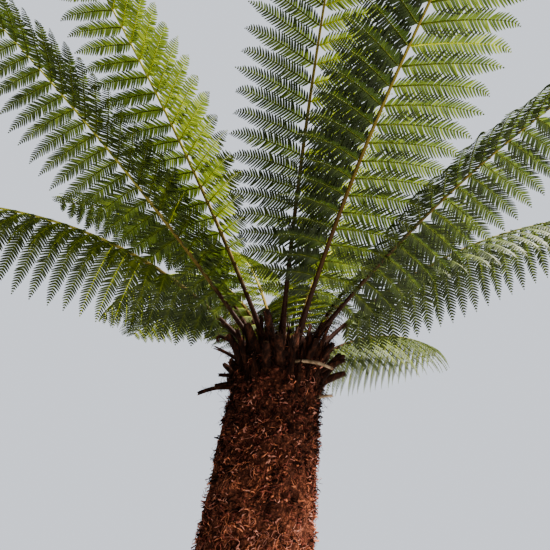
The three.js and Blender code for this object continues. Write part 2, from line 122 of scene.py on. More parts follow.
@dataclass
class JoinedMesh:
    """Points and faces of one joined mesh, gathered part by part."""

    points: list[Array] = field(default_factory=list)
    values: list[Array] = field(default_factory=list)
    faces: list[Array] = field(default_factory=list)
    slots: list[Array] = field(default_factory=list)
    count: int = 0

    def add(
        self, points: Array, faces: list[Array], slots: list[Array] | int, values: Array | float = 0.0
    ) -> None:
        """Adds points and the faces between them.

        Args:
            points: The new points, one a row.
            faces: Arrays of faces with a like number of corners, as rows of the new points' places.
            slots: The material slot of each face, for each array of faces, or one slot for all.
            values: A value for each point, which finishes can read as "place".
        """
        self.points.append(points.reshape(-1, 3))
        self.values.append(np.broadcast_to(np.asarray(values, float).reshape(-1), (len(self.points[-1]),)))
        for i, some in enumerate(faces):
            self.faces.append(some + self.count)
            self.slots.append(np.full(len(some), slots) if isinstance(slots, int) else slots[i])
        self.count += len(self.points[-1])

    def make(self, name: str, finishes: list[Material], smooth: bool = True) -> Piece:
        """Makes the mesh and its object.

        Args:
            name: The piece's name.
            finishes: The material of each slot.
            smooth: Whether the faces are shaded smooth.

        Returns:
            The new object, in the scene.
        """
        mesh = bpy.data.meshes.new(name)
        points = np.concatenate(self.points).astype(np.float32)
        corners = np.concatenate([some.ravel() for some in self.faces]).astype(np.int32)
        sizes = np.concatenate([np.full(len(some), some.shape[1]) for some in self.faces])
        starts = np.concatenate([[0], np.cumsum(sizes)[:-1]]).astype(np.int32)
        mesh.vertices.add(len(points))
        mesh.vertices.foreach_set("co", points.ravel())
        mesh.loops.add(len(corners))
        mesh.loops.foreach_set("vertex_index", corners)
        mesh.polygons.add(len(starts))
        mesh.polygons.foreach_set("loop_start", starts)
        mesh.polygons.foreach_set("material_index", np.concatenate(self.slots).astype(np.int32))
        mesh.polygons.foreach_set("use_smooth", np.full(len(starts), smooth))
        place = mesh.attributes.new("place", "FLOAT", "POINT")
        place.data.foreach_set("value", np.concatenate(self.values).astype(np.float32))
        mesh.update(calc_edges=True)
        for finish in finishes:
            mesh.materials.append(finish)
        piece = bpy.data.objects.new(name, mesh)
        bpy.context.scene.collection.objects.link(piece)
        return piece


def tubes(paths: Array, normals: Array, widths: Array, depths: Array, sides: int) -> Shape:
    """Closed tubes along paths that all have the same number of stations.

    Args:
        paths: The middle lines, as tube, station, coordinate.
        normals: The direction of each section's depth, in the same layout.
        widths: Half the width of each section, as tube, station.
        depths: Half the depth of each section, in the same layout.
        sides: How many sides a section has.

    Returns:
        The points, and the faces of the walls and of the ends.
    """
    count, stations, _ = paths.shape
    along = unit(np.gradient(paths, axis=1))
    across = unit(np.cross(along, normals))
    upward = np.cross(across, along)
    turns = full_turn(sides)
    reach = across[:, :, None] * (np.cos(turns)[:, None] * widths[..., None, None])
    rise = upward[:, :, None] * (np.sin(turns)[:, None] * depths[..., None, None])
    places = np.arange(count * stations * sides).reshape(count, stations, sides)
    turned = np.roll(places, -1, axis=2)
    walls = np.stack([places[:, :-1], places[:, 1:], turned[:, 1:], turned[:, :-1]], axis=-1)
    ends = np.concatenate([places[:, 0], places[:, -1, ::-1]])
    return (paths[:, :, None] + reach + rise).reshape(-1, 3), [walls.reshape(-1, 4), ends]


def thin_hairs(steps: list[Array], radii: tuple[float, ...], side: Array) -> Shape:
    """Three-sided hairs.

    Args:
        steps: The hairs' points from root to tip, each an array with one row for each hair.
        radii: The radius at each step.
        side: A direction across each hair.

    Returns:
        The points, and the faces of the walls and of the ends.
    """
    paths = np.stack(steps, axis=1)
    widths = np.array(radii) * np.ones((len(paths), 1))
    return tubes(paths, np.repeat(side[:, None], len(steps), axis=1), widths, widths, HAIR_SIDES)


def hand_over(piece: Piece, slot: str, *nodes: str) -> None:
    """Lets a piece ride on the plant's body in place of its solids.

    Args:
        piece: The finished piece.
        slot: The record's material slot, which is not used.
        nodes: The solids that it stands for.
    """
    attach(piece, BODY)
    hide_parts(*nodes)
    log.info("%s: %d faces", piece.name, len(piece.data.polygons))


class NodeSheet:
    """A node tree that fills from left to right."""

    def __init__(self, tree: bpy.types.NodeTree) -> None:
        """Starts on an empty tree."""
        self.tree = tree
        self.column = 0

    def put(self, kind: str, values: Values | None = None, **settings: object) -> bpy.types.Node:
        """Adds a node.

        Args:
            kind: The node's type.
            values: Values or sources of its inputs, by name or number.
            settings: Its own settings.

        Returns:
            The new node.
        """
        node = self.tree.nodes.new(kind)
        node.location = (220 * self.column, 0)
        self.column += 1
        for name, value in settings.items():
            setattr(node, name, value)
        for name, value in (values or {}).items():
            if isinstance(value, bpy.types.NodeSocket):
                self.tree.links.new(value, node.inputs[name])
            else:
                node.inputs[name].default_value = value
        return node

    def calculate(self, operation: str, *terms: object) -> bpy.types.NodeSocket:
        """Puts numbers through one step of arithmetic and gives the result's socket."""
        return self.put("ShaderNodeMath", dict(enumerate(terms)), operation=operation).outputs[0]

    def mix_values(self, share: object, first: object, second: object) -> bpy.types.NodeSocket:
        """Mixes two values by a share and gives the result's socket."""
        return self.put("ShaderNodeMix", {0: share, 2: first, 3: second}, data_type="FLOAT").outputs[0]

    def mix_colours(self, share: object, first: object, second: object) -> bpy.types.NodeSocket:
        """Mixes two colours by a share and gives the result's socket."""
        return self.put("ShaderNodeMix", {0: share, 6: first, 7: second}, data_type="RGBA").outputs[2]

    def place(self, effect: bpy.types.NodeTree, values: Values) -> bpy.types.NodeSocket:
        """Places a shared effect with the finish's own values and gives its result's socket."""
        return self.put("ShaderNodeGroup", values, node_tree=effect).outputs[0]

    def stretched_place(self, given: bpy.types.Node) -> bpy.types.NodeSocket:
        """The place on the piece, drawn out by a group's Stretch.

        Args:
            given: The group's input node.

        Returns:
            The place's socket.
        """
        place = self.put("ShaderNodeTexCoord").outputs["Object"]
        values = {0: place, 1: given.outputs["Stretch"]}
        return self.put("ShaderNodeVectorMath", values, operation="MULTIPLY").outputs[0]

    def face(self, colour: object, roughness: object, normal: object, shine: float) -> bpy.types.Node:
        """The shader of a face with its colour, roughness and relief, and how much it shines."""
        values = {"Base Color": colour, "Roughness": roughness, "Normal": normal, "Specular IOR Level": shine}
        return self.put("ShaderNodeBsdfPrincipled", values)

    def relief(self, height: object, strength: float, depth: float) -> bpy.types.NodeSocket:
        """The normal that a height gives."""
        values = {"Strength": strength, "Distance": depth, "Height": height}
        return self.put("ShaderNodeBump", values).outputs["Normal"]


class Effects:
    """Effects that several finishes share, each a node group that is built once."""

    made: dict[str, bpy.types.NodeTree] = {}

    @classmethod
    def start(
        cls, name: str, inputs: dict[str, str], output: tuple[str, str]
    ) -> tuple[NodeSheet, bpy.types.Node]:
        """Opens a new group.

        Args:
            name: The group's name.
            inputs: The kind of each input, by name.
            output: Name and kind of the output.

        Returns:
            The group's sheet and its input node.
        """
        tree = bpy.data.node_groups.new(name, "ShaderNodeTree")
        for label, kind in inputs.items():
            tree.interface.new_socket(name=label, in_out="INPUT", socket_type="NodeSocket" + kind)
        tree.interface.new_socket(name=output[0], in_out="OUTPUT", socket_type="NodeSocket" + output[1])
        cls.made[name] = tree
        sheet = NodeSheet(tree)
        return sheet, sheet.put("NodeGroupInput")

    @classmethod
    def mottle(cls) -> bpy.types.NodeTree:
        """Builds the effect of uneven patches.

        Returns:
            The group, which gives a mask between Low and High.
        """
        if "Mottle" not in cls.made:
            inputs = {"Scale": "Float", "Stretch": "Vector", "Low": "Float", "High": "Float"}
            sheet, given = cls.start("Mottle", inputs, ("Mask", "Float"))
            patches = sheet.put(
                "ShaderNodeTexNoise",
                {
                    "Vector": sheet.stretched_place(given),
                    "Scale": given.outputs["Scale"],
                    "Detail": 4.0,
                    "Roughness": 0.6,
                },
            )
            spread = sheet.put(
                "ShaderNodeMapRange",
                {
                    "Value": patches.outputs["Fac"],
                    "From Min": 0.32,
                    "From Max": 0.68,
                    "To Min": given.outputs["Low"],
                    "To Max": given.outputs["High"],
                },
            )
            sheet.put("NodeGroupOutput", {"Mask": spread.outputs["Result"]})
        return cls.made["Mottle"]

    @classmethod
    def three_tones(cls) -> bpy.types.NodeTree:
        """Builds the effect of three tones.

        Returns:
            The group, which turns a mask into a colour between dark, middle and light.
        """
        if "Three tones" not in cls.made:
            inputs = {"Mask": "Float", "Dark": "Color", "Middle": "Color", "Light": "Color"}
            sheet, given = cls.start("Three tones", inputs, ("Colour", "Color"))
            mask = given.outputs["Mask"]
            low = sheet.put("ShaderNodeMapRange", {"Value": mask, "From Max": 0.5}).outputs["Result"]
            high = sheet.put("ShaderNodeMapRange", {"Value": mask, "From Min": 0.5}).outputs["Result"]
            first = sheet.mix_colours(low, given.outputs["Dark"], given.outputs["Middle"])
            sheet.put("NodeGroupOutput", {"Colour": sheet.mix_colours(high, first, given.outputs["Light"])})
        return cls.made["Three tones"]

    @classmethod
    def grain(cls) -> bpy.types.NodeTree:
        """Builds the effect of fine ridges that run along one direction.

        Returns:
            The group, which gives a height.
        """
        if "Grain" not in cls.made:
            inputs = {"Scale": "Float", "Stretch": "Vector"}
            sheet, given = cls.start("Grain", inputs, ("Height", "Float"))
            cords = sheet.put(
                "ShaderNodeTexNoise",
                {
                    "Vector": sheet.stretched_place(given),
                    "Scale": given.outputs["Scale"],
                    "Detail": 7.0,
                    "Distortion": 0.6,
                },
            )
            centred = sheet.calculate("SUBTRACT", cords.outputs["Fac"], 0.5)
            folded = sheet.calculate("ABSOLUTE", centred)
            sheet.put("NodeGroupOutput", {"Height": sheet.calculate("SUBTRACT", 1.0, folded)})
        return cls.made["Grain"]

    @classmethod
    def crumple(cls) -> bpy.types.NodeTree:
        """Builds the effect of small crumpled flakes with crevices between them.

        Returns:
            The group, which gives a height.
        """
        if "Crumple" not in cls.made:
            inputs = {"Scale": "Float", "Warp": "Float"}
            sheet, given = cls.start("Crumple", inputs, ("Height", "Float"))
            place = sheet.put("ShaderNodeTexCoord").outputs["Object"]
            scale = given.outputs["Scale"]
            wander = sheet.put("ShaderNodeTexNoise", {"Vector": place, "Scale": scale, "Detail": 3.0})
            warp = {0: wander.outputs["Color"], "Scale": given.outputs["Warp"]}
            shift = sheet.put("ShaderNodeVectorMath", warp, operation="SCALE").outputs[0]
            moved = sheet.put("ShaderNodeVectorMath", {0: place, 1: shift}, operation="ADD").outputs[0]
            flakes = sheet.put("ShaderNodeTexVoronoi", {"Vector": moved, "Scale": scale})
            height = sheet.put(
                "ShaderNodeMapRange",
                {
                    "Value": flakes.outputs["Distance"],
                    "From Min": 0.15,
                    "From Max": 0.75,
                    "To Min": 1.0,
                    "To Max": 0.0,
                },
            )
            sheet.put("NodeGroupOutput", {"Height": height.outputs["Result"]})
        return cls.made["Crumple"]


def solid_colour(colour: Colour) -> tuple[float, float, float, float]:
    """A colour with full alpha, as sockets take it."""
    return (*colour, 1.0)


def new_material(name: str) -> tuple[Material, NodeSheet]:
    """Makes an empty node material.

    Args:
        name: The material's name.

    Returns:
        The material and the sheet to fill it.
    """
    material = bpy.data.materials.new(name)
    material.use_nodes = True
    material.node_tree.nodes.clear()
    return material, NodeSheet(material.node_tree)


@dataclass(frozen=True)
class FibreFinish:
    """Matted or woody plant matter: three tones, a grain and a dull shine."""

    name: str
    dark: Colour
    middle: Colour
    light: Colour
    patch_scale: float = 40.0
    stretch: Triple = (1.0, 1.0, 0.35)
    grain_scale: float = 220.0
    bump: float = 0.5
    bump_depth: float = 0.003
    roughness: tuple[float, float] = (0.7, 0.95)
    shine: float = 0.12
    crumpled: bool = False
    crumple_scale: float = 62.0
    crumple_warp: float = 0.03
    flake_share: float = 0.55
    patch_share: float = 0.4
    flake_height_share: float = 0.6

    def build(self) -> Material:
        """Makes the material.

        Returns:
            A material whose tones follow uneven patches, and where it is crumpled also painted shade in the
            flakes' crevices and the painted shade that the mesh gives as "place".
        """
        material, sheet = new_material(self.name)
        patches = {"Scale": self.patch_scale, "Stretch": self.stretch, "Low": 0.0, "High": 1.0}
        mask = sheet.place(Effects.mottle(), patches)
        height = sheet.place(Effects.grain(), {"Scale": self.grain_scale, "Stretch": self.stretch})
        if self.crumpled:
            depth = sheet.put("ShaderNodeAttribute", attribute_name="place").outputs["Fac"]
            sizes = {"Scale": self.crumple_scale, "Warp": self.crumple_warp}
            flakes = sheet.place(Effects.crumple(), sizes)
            # Where crumpled, the flakes' crevices and the mesh's painted shade darken the colour; the flakes
            # also give real relief.
            mask = sheet.mix_values(self.patch_share, sheet.mix_values(self.flake_share, depth, flakes), mask)
            height = sheet.mix_values(self.flake_height_share, height, flakes)
        tones = {
            "Mask": mask,
            "Dark": solid_colour(self.dark),
            "Middle": solid_colour(self.middle),
            "Light": solid_colour(self.light),
        }
        low, high = self.roughness
        dullness = {"Scale": 2 * self.patch_scale, "Stretch": self.stretch, "Low": low, "High": high}
        shader = sheet.face(
            sheet.place(Effects.three_tones(), tones),
            sheet.place(Effects.mottle(), dullness),
            sheet.relief(height, self.bump, self.bump_depth),
            self.shine,
        )
        sheet.put("ShaderNodeOutputMaterial", {"Surface": shader.outputs[0]})
        return material


@dataclass(frozen=True)
class LeafFinish:
    """A leaf's blade: three near greens, a slight shine, and light that passes through."""

    name: str
    colour: Colour
    glow: Colour
    core: Colour
    core_reach: float = 0.3
    change: float = 0.4
    glow_share: float = 0.35
    patch_scale: float = 24.0
    gloss_scale: float = 90.0
    gloss: tuple[float, float] = (0.46, 0.68)
    vein_scale: float = 260.0
    bump: float = 0.25
    bump_depth: float = 0.001
    shine: float = 0.25

    def shade(self, change: float) -> tuple[float, float, float, float]:
        """The leaf's colour, made lighter or darker by a share."""
        return solid_colour(tuple(part * (1 + change) for part in self.colour))

    def build(self) -> Material:
        """Makes the material.

        Returns:
            A leaf material that mixes a glossy face with light let through.
        """
        material, sheet = new_material(self.name)
        patches = {"Scale": self.patch_scale, "Stretch": EVEN, "Low": 0.0, "High": 1.0}
        tones = {
            "Mask": sheet.place(Effects.mottle(), patches),
            "Dark": self.shade(-self.change),
            "Middle": self.shade(0),
            "Light": self.shade(self.change),
        }
        blade = sheet.place(Effects.three_tones(), tones)
        reach = sheet.put("ShaderNodeAttribute", attribute_name="place").outputs["Fac"]
        outward = sheet.put("ShaderNodeMapRange", {"Value": reach, "From Max": self.core_reach})
        low, high = self.gloss
        gloss = {"Scale": self.gloss_scale, "Stretch": EVEN, "Low": low, "High": high}
        veins = sheet.place(Effects.grain(), {"Scale": self.vein_scale, "Stretch": EVEN})
        face = sheet.face(
            sheet.mix_colours(outward.outputs["Result"], solid_colour(self.core), blade),
            sheet.place(Effects.mottle(), gloss),
            sheet.relief(veins, self.bump, self.bump_depth),
            self.shine,
        )
        through = sheet.put("ShaderNodeBsdfTranslucent", {"Color": solid_colour(self.glow)})
        shaders = {0: self.glow_share, 1: face.outputs[0], 2: through.outputs[0]}
        both = sheet.put("ShaderNodeMixShader", shaders)
        sheet.put("ShaderNodeOutputMaterial", {"Surface": both.outputs[0]})
        return material


@dataclass(frozen=True)
class StalkFinish:
    """A living stalk: dark and hairy at its foot, golden, then yellow-green along the blade."""

    name: str
    foot: Colour = (0.018, 0.006, 0.0035)
    golden: Colour = (0.050, 0.028, 0.008)
    blade: Colour = (0.14, 0.115, 0.024)
    foot_end: float = 0.13
    golden_end: float = 0.32
    patch_scale: float = 26.0
    patch_shift: float = 0.05
    gloss_scale: float = 60.0
    gloss_stretch: Triple = (1.0, 1.0, 0.3)
    gloss: tuple[float, float] = (0.4, 0.7)
    grain_scale: float = 180.0
    grain_stretch: Triple = (1.0, 1.0, 0.2)
    bump: float = 0.3
    bump_depth: float = 0.002
    shine: float = 0.10

    def build(self) -> Material:
        """Makes the material.

        Returns:
            A material whose colour follows the place along the stalk.
        """
        material, sheet = new_material(self.name)
        place = sheet.put("ShaderNodeAttribute", attribute_name="place").outputs["Fac"]
        far = self.patch_shift
        shift = {"Scale": self.patch_scale, "Stretch": EVEN, "Low": -far, "High": far}
        shifted = sheet.calculate("ADD", place, sheet.place(Effects.mottle(), shift))
        ramp = sheet.put("ShaderNodeValToRGB", {"Fac": shifted})
        marks = ramp.color_ramp.elements
        marks[0].position, marks[0].color = self.foot_end, solid_colour(self.foot)
        marks[1].position, marks[1].color = 2 * self.golden_end, solid_colour(self.blade)
        middle = marks.new(self.golden_end)
        middle.color = solid_colour(self.golden)
        cords = sheet.place(Effects.grain(), {"Scale": self.grain_scale, "Stretch": self.grain_stretch})
        low, high = self.gloss
        gloss = {"Scale": self.gloss_scale, "Stretch": self.gloss_stretch, "Low": low, "High": high}
        shader = sheet.face(
            ramp.outputs["Color"],
            sheet.place(Effects.mottle(), gloss),
            sheet.relief(cords, self.bump, self.bump_depth),
            self.shine,
        )
        sheet.put("ShaderNodeOutputMaterial", {"Surface": shader.outputs[0]})
        return material


@dataclass
class Wave:
    """One long wave round the mantle."""

    count: int
    turn: float
    twist: float
    share: float


@dataclass(frozen=True)
class FibreKind:
    """Sizes of one kind of root fibre on the mantle."""

    name: str
    tufts: int
    strands: int
    points: int
    length: tuple[float, float]
    radius: tuple[float, float]
    flatness: float
    lift: tuple[float, float]
    curl: float
    spread: float
    loose_share: float
    loose_lift: float


@dataclass
class Trunk:
    """The trunk: its taper and lean, the mantle's relief and the root fibres on it."""

    top: float = 2.5
    neck_height: float = 2.31
    neck_radius: float = 0.2
    foot_spread: float = 0.135
    spread_power: float = 1.3
    flare_width: float = 0.036
    flare_height: float = 0.12
    shoulder_height: float = 2.41
    shoulder_reach: float = 0.11
    neck_lean: float = math.radians(9)
    waves: tuple[Wave, ...] = (Wave(3, 75, 1.2, 0.022), Wave(5, 200, -1.7, 0.016), Wave(8, 20, 3.1, 0.01))
    root_lobes: int = 7
    root_lobe_turn: float = math.radians(57)
    root_lobe_share: float = 0.06
    root_lobe_height: float = 0.26
    columns: int = 208
    rows: int = 230
    clump_size: float = 0.07
    clump_relief: float = 0.013
    clump_fractal: tuple[float, float, int] = (1.0, 2.0, 3)
    tuft_size: float = 0.024
    tuft_relief: float = 0.009
    pit_size: float = 0.011
    pit_relief: float = 0.004
    mat_depth: float = 0.010
    tuft_sharpness: float = 2.4
    clump_stretch: float = 0.6
    foot_fade: float = 0.02
    head_fade: float = 0.03
    # How strongly the relief's hollows are darkened as painted shade, and the painted shade at the foot's and
    # the head's middles.
    depth_contrast: float = 0.9
    end_depths: tuple[float, float] = (0.5, 0.2)
    kinds: tuple[FibreKind, ...] = (
        FibreKind(
            "roots", 880, 7, 5, (0.022, 0.075), (0.0008, 0.0016), 0.7, (0.003, 0.016), 34, 0.013, 0.16, 0.026
        ),
        FibreKind(
            "flakes", 3400, 4, 3, (0.010, 0.028), (0.0022, 0.0050), 0.3, (0.004, 0.018), 36, 0.011, 0.4, 0.014
        ),
    )
    tuft_lowest: float = 0.01
    tuft_low_bias: float = 1.08
    strand_curl_share: float = 0.7
    short_bias: float = 1.5
    arch_span: tuple[float, float] = (0.15, 0.9)
    loose_power: float = 1.5
    fibre_lowest: float = 0.004
    fibre_overshoot: float = 0.05
    fibre_slack: float = 0.01
    fibre_sunk: float = 0.003
    fibre_taper: float = 0.75
    fibre_taper_power: float = 2.5
    heading_spread: float = 70
    strand_spread: float = 34
    tone_shares: tuple[float, ...] = (0.22, 0.34, 0.31, 0.13)
    # Near the head the fibres draw mostly dark tones and the mantle darkens: painted shade from the crown,
    # over these heights.
    tone_shares_crown_shade: tuple[float, ...] = (0.74, 0.20, 0.05, 0.01)
    tone_spread: float = 0.14
    crown_shade_from: float = 1.75
    crown_shade_to: float = 2.2
    high_shade: float = 0.6
    seed: int = 31
    relief: Array | None = None

    def axis(self, height: Array | float) -> Array:
        """The middle of the trunk, whose lean grows from nothing at the ground.

        Args:
            height: Heights over the ground.

        Returns:
            The places.
        """
        height = np.asarray(height, float)
        shift = math.tan(self.neck_lean) * height**2 / (2 * self.neck_height)
        return np.stack([shift, np.zeros_like(height), height], axis=-1)

    def plain_radius(self, height: Array | float) -> Array:
        """The radius before the mantle's waves.

        Args:
            height: Heights over the ground.

        Returns:
            The radius at each.
        """
        height = np.asarray(height, float)
        above = np.maximum(0, 1 - height / self.neck_height)
        plain = self.neck_radius + self.foot_spread * above**self.spread_power
        plain = plain + self.flare_width * np.exp(-height / self.flare_height)
        over = np.maximum(0, height - self.shoulder_height) / self.shoulder_reach
        return plain * np.sqrt(np.maximum(0, 1 - over**2))

    def radius(self, height: Array, angle: Array) -> Array:
        """The mantle's radius, with its long twisted waves and the lobes at its foot.

        Args:
            height: Heights over the ground.
            angle: Angles round the axis.

        Returns:
            The radius at each.
        """
        share = np.ones(np.broadcast(height, angle).shape)
        for wave in self.waves:
            turn = wave.count * angle + math.radians(wave.turn) + wave.twist * height
            share = share + wave.share * np.sin(turn)
        foot = np.exp(-height / self.root_lobe_height)
        share = share + self.root_lobe_share * foot * np.sin(self.root_lobes * angle + self.root_lobe_turn)
        return self.plain_radius(height) * share

    def shoulder_top(self, radius: float) -> float:
        """The height of the shoulder's surface where its radius is the one given."""
        share = min(1.0, radius / self.neck_radius)
        return min(self.top, self.shoulder_height + self.shoulder_reach * math.sqrt(1 - share * share))

    def shaded(self, height: Array) -> Array:
        """How much painted crown shade the mantle and its fibres get at heights near the head, from 0 to 1.
        """
        return np.clip((height - self.crown_shade_from) / (self.crown_shade_to - self.crown_shade_from), 0, 1)

    def shape_relief(self) -> None:
        """Works out how far the mantle stands in or out, on a grid of heights and angles."""
        heights = np.linspace(0, self.top, self.rows + 1)
        angles = full_turn(self.columns)
        relief = np.zeros((len(heights), len(angles)))
        for i, height in enumerate(heights):
            radii = self.radius(height, angles)
            for j, angle in enumerate(angles):
                flat = radii[j] * math.cos(angle), radii[j] * math.sin(angle)
                place = Vector((*flat, self.clump_stretch * height))
                clump = self.clump_relief * noise.fractal(place / self.clump_size, *self.clump_fractal)
                tuft = self.tuft_relief * (1 - self.tuft_sharpness * abs(noise.noise(place / self.tuft_size)))
                pit = self.pit_relief * noise.noise(place / self.pit_size)
                relief[i, j] = clump + tuft + pit - self.mat_depth
        foot = np.minimum(1, heights / self.foot_fade)[:, None]
        crown = np.minimum(1, (self.top - heights) / self.head_fade)[:, None]
        self.relief = relief * foot * crown

    def surface(self, height: Array, angle: Array, lift: Array | float) -> tuple[Array, Array]:
        """Places on the mantle's relief.

        Args:
            height: Heights over the ground.
            angle: Angles round the axis.
            lift: How far the places stand off the surface.

        Returns:
            The places and the directions straight out.
        """
        height = np.clip(height, 0, self.top)
        row = np.clip((height / self.top * self.rows).astype(int), 0, self.rows)
        column = np.round(angle / (2 * np.pi) * self.columns).astype(int) % self.columns
        out = np.stack([np.cos(angle), np.sin(angle), np.zeros_like(angle)], axis=-1)
        reach = self.radius(height, angle) + self.relief[row, column] + lift
        return self.axis(height) + out * reach[..., None], out

    def build_mantle(self, finish: Material) -> Piece:
        """Makes the mantle: one closed mesh with its relief.

        Args:
            finish: The mantle's material.

        Returns:
            The mantle.
        """
        heights = np.linspace(0, self.top, self.rows + 1)
        angles = full_turn(self.columns)
        out = np.stack([np.cos(angles), np.sin(angles), np.zeros(self.columns)], axis=-1)
        reach = self.radius(heights[:, None], angles[None]) + self.relief
        points = self.axis(heights)[:, None] + out * reach[..., None]
        places, turned, walls = rings_of(len(points), self.columns)
        foot, head = places.size, places.size + 1
        under = np.stack([turned[0], places[0], np.full(self.columns, foot)], axis=-1)
        over = np.stack([places[-1], turned[-1], np.full(self.columns, head)], axis=-1)
        middles = self.axis(np.array([0.0, self.top]))
        # The "place" of each point is painted shade: darker where the relief sinks into crevices, and darker
        # near the head for the crown's shadow.
        spread = self.clump_relief + self.tuft_relief
        depth = np.clip(0.5 + self.depth_contrast * (self.relief + self.mat_depth) / spread, 0, 1)
        depth = depth * (1 - self.high_shade * self.shaded(heights))[:, None]
        joined = JoinedMesh()
        values = np.concatenate([depth.ravel(), self.end_depths])
        joined.add(np.concatenate([points.reshape(-1, 3), middles]), [walls, under, over], 0, values)
        return joined.make("root_mantle", [finish])

    def strand_paths(self, kind: FibreKind, random: Random) -> tuple[Array, Array, Array, Array]:
        """Lays fibres of one kind over the mantle, in tufts that lie alike and curl alike.

        Args:
            kind: Their sizes.
            random: The source of chance.

        Returns:
            The fibres' paths, their sections' depth directions, their radii and their tones.
        """
        shape = (kind.tufts, kind.strands)
        highest = self.shoulder_height + self.fibre_overshoot
        tuft_height = blend(self.tuft_lowest, highest, random.random(kind.tufts) ** self.tuft_low_bias)
        tuft_angle = random.random(kind.tufts) * 2 * np.pi
        heading = random.normal(0, math.radians(self.heading_spread), kind.tufts)[:, None]
        heading = heading + random.normal(0, math.radians(self.strand_spread), shape)
        curl = random.normal(0, math.radians(kind.curl), kind.tufts)[:, None]
        curl = curl + random.normal(0, math.radians(self.strand_curl_share * kind.curl), shape)
        length = blend(*kind.length, random.random(shape) ** self.short_bias)
        radius = blend(*kind.radius, random.random(shape))
        lift = blend(*kind.lift, random.random(shape))
        loose = random.random(shape) < kind.loose_share
        height = tuft_height[:, None] + random.normal(0, kind.spread, shape)
        round_radius = self.plain_radius(np.clip(height, 0, self.shoulder_height))
        angle = tuft_angle[:, None] + random.normal(0, kind.spread, shape) / round_radius
        step = length / (kind.points - 1)
        places, outs = [], []
        for i in range(kind.points):
            share = i / (kind.points - 1)
            arch = lift * math.sin(math.pi * blend(*self.arch_span, share)) - self.fibre_sunk * (1 - share)
            stand = np.where(loose, arch + kind.loose_lift * share**self.loose_power, arch)
            place, out = self.surface(height, angle, stand)
            places.append(place)
            outs.append(out)
            angle = angle + np.sin(heading) * step / round_radius
            height = height - np.cos(heading) * step
            height = np.clip(height, self.fibre_lowest, highest + self.fibre_slack)
            heading = heading + curl
        share = np.linspace(0, 1, kind.points)
        taper = 1 - self.fibre_taper * share**self.fibre_taper_power
        count = shape[0] * shape[1]
        paths = np.stack(places, axis=2).reshape(count, kind.points, 3)
        normals = np.stack(outs, axis=2).reshape(count, kind.points, 3)
        # Near the head the tone shares shift to the dark ones as painted crown shade.
        low, high = np.array(self.tone_shares), np.array(self.tone_shares_crown_shade)
        shares = blend(low, high, self.shaded(tuft_height)[:, None])
        draw = np.clip(random.random((kind.tufts, 1)) + random.normal(0, self.tone_spread, shape), 0, 1)
        tones = (draw[..., None] > np.cumsum(shares, axis=1)[:, None]).sum(axis=2)
        tones = np.minimum(tones, len(self.tone_shares) - 1).reshape(-1)
        return paths, normals, radius.reshape(-1, 1) * taper, tones

    def build_fibres(self, kind: FibreKind, finishes: list[Material]) -> Piece:
        """Makes the root fibres of one kind.

        Args:
            kind: Their sizes.
            finishes: The materials of the tones.

        Returns:
            The fibres, joined.
        """
        random = np.random.default_rng(self.seed)
        paths, normals, radii, tones = self.strand_paths(kind, random)
        paths[..., 2] = np.maximum(paths[..., 2], radii)
        joined = JoinedMesh()
        points, faces = tubes(paths, normals, radii, radii * kind.flatness, HAIR_SIDES)
        joined.add(points, faces, [np.repeat(tones, HAIR_SIDES * (kind.points - 1)), np.tile(tones, 2)])
        return joined.make("root_" + kind.name, finishes)

    def dress(self) -> None:
        """Builds the mantle and its fibres and hands them over."""
        self.shape_relief()
        # The mantle's dark tone is laid by its mask mostly as painted shade, in crevices and near the head.
        bark = FibreFinish(
            "matted roots",
            dark=(0.004, 0.0016, 0.0013),
            middle=(0.098, 0.033, 0.021),
            light=(0.49, 0.18, 0.105),
            patch_scale=120.0,
            stretch=(1.0, 1.0, 0.8),
            grain_scale=240.0,
            bump=1.0,
            bump_depth=0.012,
            crumpled=True,
        ).build()
        tones = [
            FibreFinish("dark root", (0.007, 0.003, 0.002), (0.020, 0.008, 0.006), (0.050, 0.020, 0.014)),
            FibreFinish("maroon root", (0.09, 0.024, 0.019), (0.22, 0.066, 0.047), (0.37, 0.120, 0.088)),
            FibreFinish("orange root", (0.27, 0.090, 0.047), (0.50, 0.180, 0.098), (0.70, 0.290, 0.170)),
            FibreFinish("pink root", (0.30, 0.120, 0.090), (0.48, 0.210, 0.160), (0.68, 0.350, 0.270)),
        ]
        hand_over(self.build_mantle(bark), "mantle", "trunk")
        finishes = [tone.build() for tone in tones]
        for kind in self.kinds:
            hand_over(self.build_fibres(kind, finishes), "mantle", "trunk")


